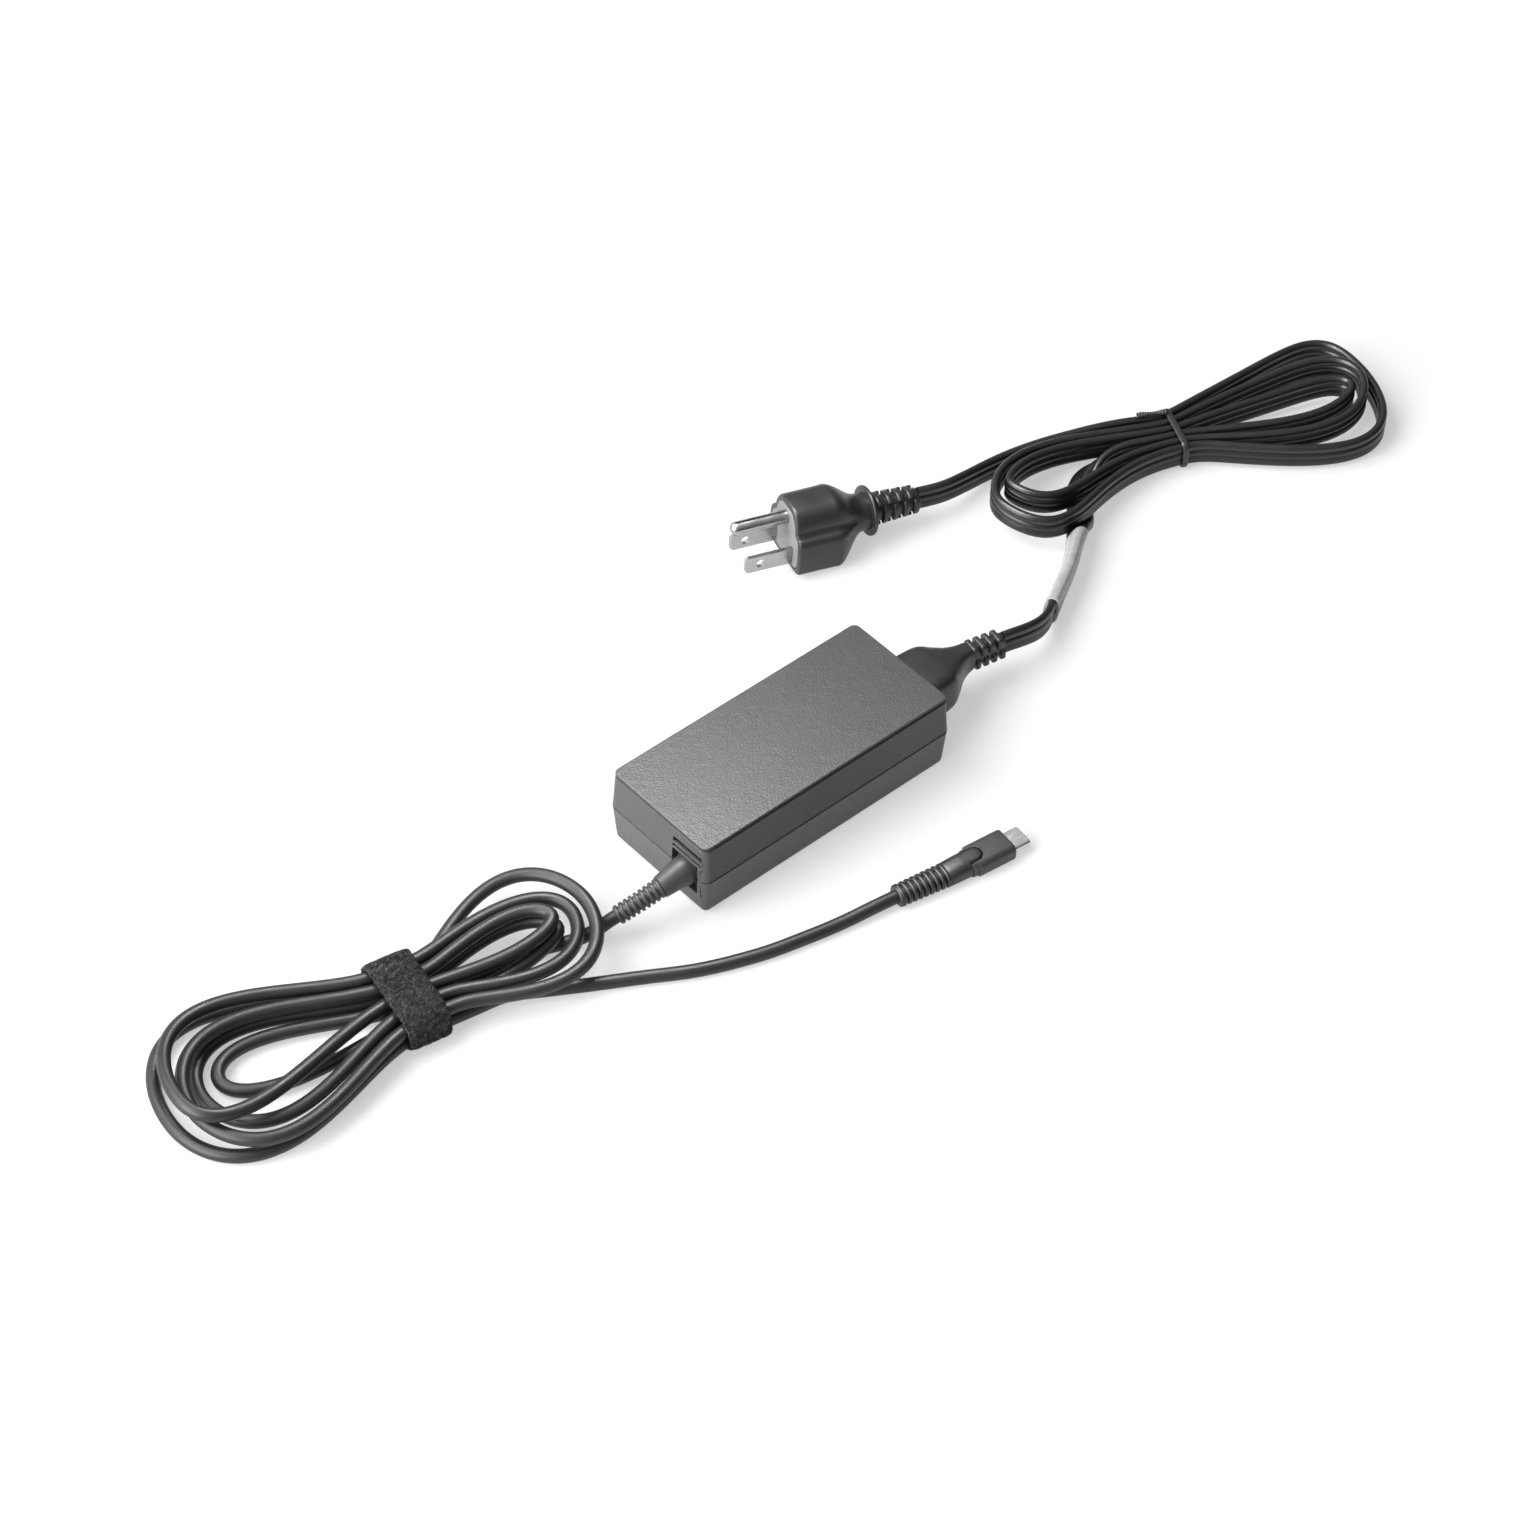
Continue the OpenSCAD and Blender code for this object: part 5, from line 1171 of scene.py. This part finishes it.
# %% The tree of loops
def outside(g):
    """True on faces that look away from the band's middle, and not down at the floor."""
    facing, place, out, parts = new_nodes(g, "GeometryNodeInputNormal", "GeometryNodeInputPosition",
                                          "ShaderNodeVectorMath", "ShaderNodeSeparateXYZ")
    away, level, both = new_nodes(g, "FunctionNodeCompare", "FunctionNodeCompare", "FunctionNodeBooleanMath")
    out.operation, both.operation = "DOT_PRODUCT", "AND"
    chain(g, (facing.outputs["Normal"], out.inputs[0]), (place.outputs["Position"], out.inputs[1]),
          (facing.outputs["Normal"], parts.inputs["Vector"]), (out.outputs["Value"], away.inputs[0]),
          (parts.outputs["Z"], level.inputs[0]), (away.outputs["Result"], both.inputs[0]),
          (level.outputs["Result"], both.inputs[1]))
    for node, limit in ((away, 0.0), (level, -0.5)):
        node.data_type, node.operation = "FLOAT", "GREATER_THAN"
        node.inputs[1].default_value = limit
    return both.outputs["Boolean"]


pile, gi, go = tree("pile", [("Loop", OBJ, None), ("Material", MAT, None), ("Density", NUM, 4.0e6),
                             ("Seed", INT, 7)])
strew, inst, info, spin = new_nodes(pile, "GeometryNodeDistributePointsOnFaces", "GeometryNodeInstanceOnPoints",
                                    "GeometryNodeObjectInfo", "FunctionNodeRotateRotation")
rand, grow, join = new_nodes(pile, "FunctionNodeRandomValue", "FunctionNodeRandomValue",
                             "GeometryNodeJoinGeometry")
spin.rotation_space = "LOCAL"
rand.data_type, grow.data_type = "FLOAT_VECTOR", "FLOAT"
rand.inputs["Min"].default_value, rand.inputs["Max"].default_value = (-0.4, -0.4, 0), (0.4, 0.4, 6.283)
grow.inputs[2].default_value, grow.inputs[3].default_value = 0.7, 1.25
chain(pile, (gi.outputs["Geometry"], strew.inputs["Mesh"]), (gi.outputs["Density"], strew.inputs["Density"]),
      (outside(pile), strew.inputs["Selection"]), (gi.outputs["Seed"], strew.inputs["Seed"]),
      (strew.outputs["Points"], inst.inputs["Points"]), (gi.outputs["Loop"], info.inputs["Object"]),
      (info.outputs["Geometry"], inst.inputs["Instance"]), (strew.outputs["Rotation"], spin.inputs["Rotation"]),
      (rand.outputs["Value"], spin.inputs["Rotate By"]), (spin.outputs["Rotation"], inst.inputs["Rotation"]),
      (grow.outputs[1], inst.inputs["Scale"]), (gi.outputs["Seed"], rand.inputs["Seed"]),
      (gi.outputs["Seed"], grow.inputs["Seed"]),
      (real_and_painted(pile, gi, inst.outputs["Instances"]), join.inputs["Geometry"]),
      (gi.outputs["Geometry"], join.inputs["Geometry"]), (join.outputs["Geometry"], go.inputs["Geometry"]))
print("tree of loops:", len(pile.nodes), "nodes")

# %% [markdown]
# ## Strap
# The strap goes once round the output hank, and its free end lies on the outside. Cloth simulation is the
# usual way for loose fabric, but this band is pulled tight, so it takes the bundle's own shape: a closed band
# that is domed over the top layer, thins towards its edges and waves a little along them.


# %% A band round a bundle
def band(length, w, h, t, r, waves, n=10, steps=16, dome=0.0):
    """A closed band, `length` wide along the run, round a bundle w by h with corners r."""
    rings = []
    there = np.linspace(-length / 2, length / 2, steps)
    for outer, x_list in ((True, there), (False, np.linspace(length / 2, -length / 2, steps))):
        for x in x_list:
            thin = (abs(x) / (length / 2)) ** 6
            grow = t * (1 - 0.35 * thin) if outer else 0.0
            sec = rounded(w + 2 * grow, h + 2 * grow, r + grow, n)
            sec[:, 1] += dome * np.where(sec[:, 1] > 0, 1 - (sec[:, 0] / (w / 2 + grow)) ** 2, 0)
            ang = np.arctan2(sec[:, 1], sec[:, 0])
            dx = waves * np.sin(3 * ang + 0.7) * (x / (length / 2))
            rings.append(np.stack([x + dx, sec[:, 0], sec[:, 1]], 1))
    rings.append(rings[0])
    return skin(rings, caps=False)


STRAP_W, STRAP_T, STRAP_DOME = 14, 1.15, 1.3
half_w, low_z, high_z = 15.73, 1.2, 11.5
strap = make("strap_band", band(STRAP_W, 2 * half_w, high_z - low_z, STRAP_T, 5.0, 0.35, n=16, dome=STRAP_DOME), 60)
print("band:", STRAP_W, "mm wide round a bundle of", round(2 * half_w, 1), "x", round(high_z - low_z, 1), "mm")

# %% The strap's free end and its loops
FLAP_STEPS = 24
flap = []
for k, y in enumerate(np.linspace(half_w - 3.6, half_w - 11.5, FLAP_STEPS)):
    along = k / (FLAP_STEPS - 1)
    lift = 0.02 + 0.2 * (1 - along) ** 4 - 1.05 * along ** 2
    over = STRAP_DOME * (1 - (y / (half_w + STRAP_T)) ** 2)
    z = (high_z - low_z) / 2 + 1.05 + lift + over - 2.6 * max(0, (y - half_w + 5) / 5) ** 2 * 0.35
    side = 6.8 + 0.12 * math.sin(1.9 * k)
    flap.append(np.array([(-side, y, z), (side, y, z), (side + 0.1, y, z + 0.5), (side - 0.2, y, z + 1.0),
                          (0.2 - side, y, z + 1.0), (-side - 0.1, y, z + 0.5)]))
flap = make("flap", skin(flap), 60)
for o in (strap, flap):
    o.data.materials.append(strap_cloth)
strap = joined("strap_cloth_band", [strap, flap])
yarn = curve_through([(-0.42, 0, 0.02), (-0.3, 0.05, 0.2), (0, 0.1, 0.3), (0.28, 0.02, 0.18), (0.4, -0.04, 0.0)], 1)
yarn_loop = make("yarn", skin(swept(yarn, circle(0.075, 3))), 180)
with_tree(strap, pile, {"Loop": yarn_loop, "Material": strap_cloth, "Density": 5.5e6, "Seed": 7})
bpy.data.objects.remove(yarn_loop)
placed(strap, Matrix.Translation((-146.5, 6.47, (low_z + high_z) / 2))
       @ Matrix.Rotation(math.atan(DC_SLOPE), 4, "Z"))
attached(strap, ADAPTER, "strap_fabric", "cable_strap")
print("strap:", len(strap.data.polygons), "faces")

# %% [markdown]
# ## Twist tie
# A coated wire holds the mains hank, and its two ends are twisted together and lie along the bundle. The ring
# is the same band as the strap's, only narrow. The ends are two helices, half a turn apart, whose distance
# swells and shrinks as a hand-made twist does.

# %% Twist tie
ac_half = 2.5 * AC_PITCH * math.cos(math.atan(AC_SLOPE)) + AC_T / 2 + 0.45
tie = make("tie_band", band(2.2, 2 * ac_half, 9.8, 0.8, 2.2, 0.12, steps=6), 50)
tails = []
for start in (0, 180):
    s = np.linspace(0, 10.5, 80)
    a = np.radians(start + 190 * s)
    wide = 0.62 * (0.6 + 0.4 * np.cos(0.6 * s))
    p = np.stack([-0.6 - s + 0.1 * np.sin(a), ac_half - 3.2 + 0.12 * s + wide * np.cos(a),
                  6.35 - 0.02 * s + wide * np.sin(a)], 1)
    tails.append(make("tail", skin(swept(p, circle(0.52, 8))), 60))
for o in [tie] + tails:
    o.data.materials.append(black_plastic)
tie = placed(joined("tie", [tie] + tails), Matrix.Translation((AC_WAIST[0], AC_WAIST[1], 5.85))
             @ Matrix.Rotation(math.atan(AC_SLOPE), 4, "Z"))
attached(tie, CORD_SET, "black_plastic", "twist_tie")
print("tie:", len(tie.data.polygons), "faces")

# %% [markdown]
# ## Sleeve
# A shrunk film, here without any print, wraps the mains cord between the connector and the hank. It follows
# the cord's own path and lean. Its skin runs along the outside, turns over the rim and comes back along the
# cord, so that it has a real thickness. Two waves of different length make its sides crease.

# %% Sleeve
span = curve_through(ac_near, PATH_STEPS)[5 * PATH_STEPS:10 * PATH_STEPS + 5]
outer, inner = oval(AC_T / 2 + 1.05, AC_W / 2 + 0.55, 2.8, 60), three_cores(AC_W + 0.2, AC_T + 0.2)
rim = swept(span, (outer + inner) / 2 * 1.01)
k = np.arange(len(span))
crease = np.stack([1 + 0.05 * np.sin(1.35 * k) + 0.04 * np.sin(3.1 * k + 1), np.ones(len(k))], 1)
rings = list(swept(span, outer[None] * crease[:, None])) + [rim[-1] + 0.15 * headings(span)[-1]]
rings += list(swept(span, inner)[::-1]) + [rim[0] - 0.15 * headings(span)[0], rings[0]]
sleeve = make("sleeve", skin(rings, caps=False), 50)
painted(sleeve, white_film, CORD_SET, "white_film", "label_sleeve")
print("sleeve:", round(run_length(span), 1), "mm long")

# %% [markdown]
# ## Pieces that keep their own shape
# The blades, the inlet, the contacts and everything on the board are plain in real life as well, so they keep
# the frame's meshes. Only their materials are set, by name, in one table.

# %% Pieces that keep their own shape
dress = {
    "line_blade": nickel, "neutral_blade": nickel, "ac_inlet": black_plastic, "inlet_pins": nickel,
    "connector_contacts": nickel, "usb_contact_insert": black_plastic, "circuit_board": board_green,
    "insulation_sheet": insulator, "input_fuse": component_black, "x_capacitor": film_box,
    "y_capacitors": disc_blue, "common_mode_choke": copper_coil, "bridge_rectifier": component_black,
    "bulk_capacitor": blue_sleeve, "primary_heat_sink": aluminium, "switching_transistor": component_black,
    "transformer_core": ferrite, "transformer_winding": tape, "secondary_heat_sink": aluminium,
    "output_rectifier": component_black, "output_capacitors": blue_sleeve, "output_choke": ferrite,
    "control_chips": component_black,
}
for n, m in dress.items():
    data = frame["nodes"][n].data
    data.materials.clear()
    data.materials.append(m)
print("dressed in place:", len(dress), "pieces")

# %% [markdown]
# ## The cords
# Each cord rides with the body that holds it, takes its finish and hides the frame's pieces of the cord that it
# stands for. Its length is measured and printed.

# %% The cords
painted(dc_cord, cord_rubber, ADAPTER, "cord_rubber", "dc_cord_near", "dc_hank", "dc_cord_far")
painted(ac_cord, cord_vinyl, CORD_SET, "cord_rubber", "ac_cord_near", "ac_hank", "ac_cord_far")
print("cords:", round(run_length(dc_run) * MM, 2), "m and", round(run_length(ac_run) * MM, 2), "m")

# %% [markdown]
# ## Floor
# A product picture has a white floor with a soft shadow. More light on the floor would burn out the object as
# well, so the floor treats two kinds of ray apart. What the camera or a reflection sees is a pale floor that
# also glows a little, and more so far away. What bounces light onto the object is a plain grey floor.


# %% Floor
def seen_directly(t):
    """1 for what the camera, a reflection or clear matter looks at, and 0 for bounced light."""
    path, total = t.nodes.new("ShaderNodeLightPath"), None
    for ray in ("Is Camera Ray", "Is Glossy Ray", "Is Transmission Ray"):
        larger = t.nodes.new("ShaderNodeMath")
        larger.operation = "MAXIMUM"
        larger.inputs[1].default_value = 0
        chain(t, (path.outputs[ray], larger.inputs[0]))
        if total:
            chain(t, (total, larger.inputs[1]))
        total = larger.outputs[0]
    return total


def set_range(node, low_in, high_in, low_out, high_out):
    for end, value in (("From Min", low_in), ("From Max", high_in), ("To Min", low_out), ("To Max", high_out)):
        node.inputs[end].default_value = value


floor_white, t, b = nodes_of("floor_white")
t.nodes.remove(b)
bounce, shade, glow, pale, mix = new_nodes(t, "ShaderNodeBsdfDiffuse", "ShaderNodeBsdfDiffuse",
                                           "ShaderNodeEmission", "ShaderNodeAddShader", "ShaderNodeMixShader")
co, far, whiter = new_nodes(t, "ShaderNodeTexCoord", "ShaderNodeVectorMath", "ShaderNodeMapRange")
bounce.inputs["Color"].default_value = (0.3, 0.3, 0.3, 1)
shade.inputs["Color"].default_value = (0.54, 0.54, 0.54, 1)
glow.inputs["Color"].default_value = (1, 1, 1, 1)
far.operation = "LENGTH"
set_range(whiter, 0.5, 1.6, 0.47, 1.0)
chain(t, (co.outputs["Object"], far.inputs[0]), (far.outputs["Value"], whiter.inputs["Value"]),
      (whiter.outputs["Result"], glow.inputs["Strength"]), (shade.outputs[0], pale.inputs[0]),
      (glow.outputs[0], pale.inputs[1]), (seen_directly(t), mix.inputs[0]), (bounce.outputs[0], mix.inputs[1]),
      (pale.outputs[0], mix.inputs[2]), (mix.outputs[0], t.nodes["Material Output"].inputs["Surface"]))
floor = box(-3000, -3000, -20, 3000, 3000, -0.02, "floor")
floor.data.materials.append(floor_white)
floor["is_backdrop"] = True
print("floor:", [round(d, 2) for d in floor.dimensions], "m")

# %% [markdown]
# ## Sky
# The world is the studio round the object. The camera sees it white. A reflection sees it bright on the left
# and above and dim on the right, as between a large window and a dark wall, which is what gives dark plastic
# its shape. What lights the object is a weak even fill, so that the shadows keep some depth.

# %% Sky
world = bpy.data.worlds.new("sky")
SCENE.world = world
world.use_nodes = True
t = world.node_tree
seen, mixer, co, side, fall, direct, level = new_nodes(
    t, "ShaderNodeBackground", "ShaderNodeMixShader", "ShaderNodeTexCoord", "ShaderNodeVectorMath",
    "ShaderNodeMapRange", "ShaderNodeLightPath", "ShaderNodeMath")
fill = t.nodes["Background"]
seen.inputs["Color"].default_value = fill.inputs["Color"].default_value = (1, 1, 1, 1)
fill.inputs["Strength"].default_value = 0.24
side.operation, level.operation = "DOT_PRODUCT", "MAXIMUM"
side.inputs[1].default_value = (-0.66, 0.45, 0.6)
set_range(fall, -0.5, 0.85, 0.08, 1.0)
chain(t, (co.outputs["Generated"], side.inputs[0]), (side.outputs["Value"], fall.inputs["Value"]),
      (fall.outputs["Result"], level.inputs[0]), (direct.outputs["Is Camera Ray"], level.inputs[1]),
      (level.outputs[0], seen.inputs["Strength"]), (seen_directly(t), mixer.inputs[0]),
      (fill.outputs[0], mixer.inputs[1]), (seen.outputs[0], mixer.inputs[2]),
      (mixer.outputs[0], t.nodes["World Output"].inputs["Surface"]))
print("sky fill:", round(fill.inputs["Strength"].default_value, 2))

# %% [markdown]
# ## Lamps
# Large lamps make soft shadows. The key stands behind the object on the left and throws the shadow to the
# front and right. The second one stands low on the left and lights the output end. The third is small and
# near, and only shows as gloss: it lays a soft sheen over the plate, which fades along it.


# %% Lamps
def lamp(name, at, size, power):
    """A round lamp that looks at the origin."""
    d = bpy.data.lights.new(name, "AREA")
    d.shape, d.size, d.energy = "DISK", size, power
    o = bpy.data.objects.new(name, d)
    SCENE.collection.objects.link(o)
    o.location = at
    o.rotation_euler = (-Vector(at)).to_track_quat("-Z", "Y").to_euler()
    return o


lamp("key", (-0.9, 0.8, 1.5), 1.7, 39)
lamp("left", (-1.5, 0.1, 0.52), 1.4, 39)
sheen = lamp("sheen", (0.04, 0.14, 0.4), 0.2, 2.7)
sheen.visible_diffuse = sheen.visible_camera = False
SCENE.view_settings.view_transform = "Standard"

# %% [markdown]
# ## Size
# The dressed object has to keep to the solid model's box, or it wouldn't fit where the solid does. So both
# boxes are printed.

# %% Size
new_box = [list(c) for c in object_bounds()]
for name, (low, high) in (("solid", CAD_BOX), ("dressed", new_box)):
    print(name, "size, mm:", [round((b - a) * 1000, 1) for a, b in zip(low, high)])
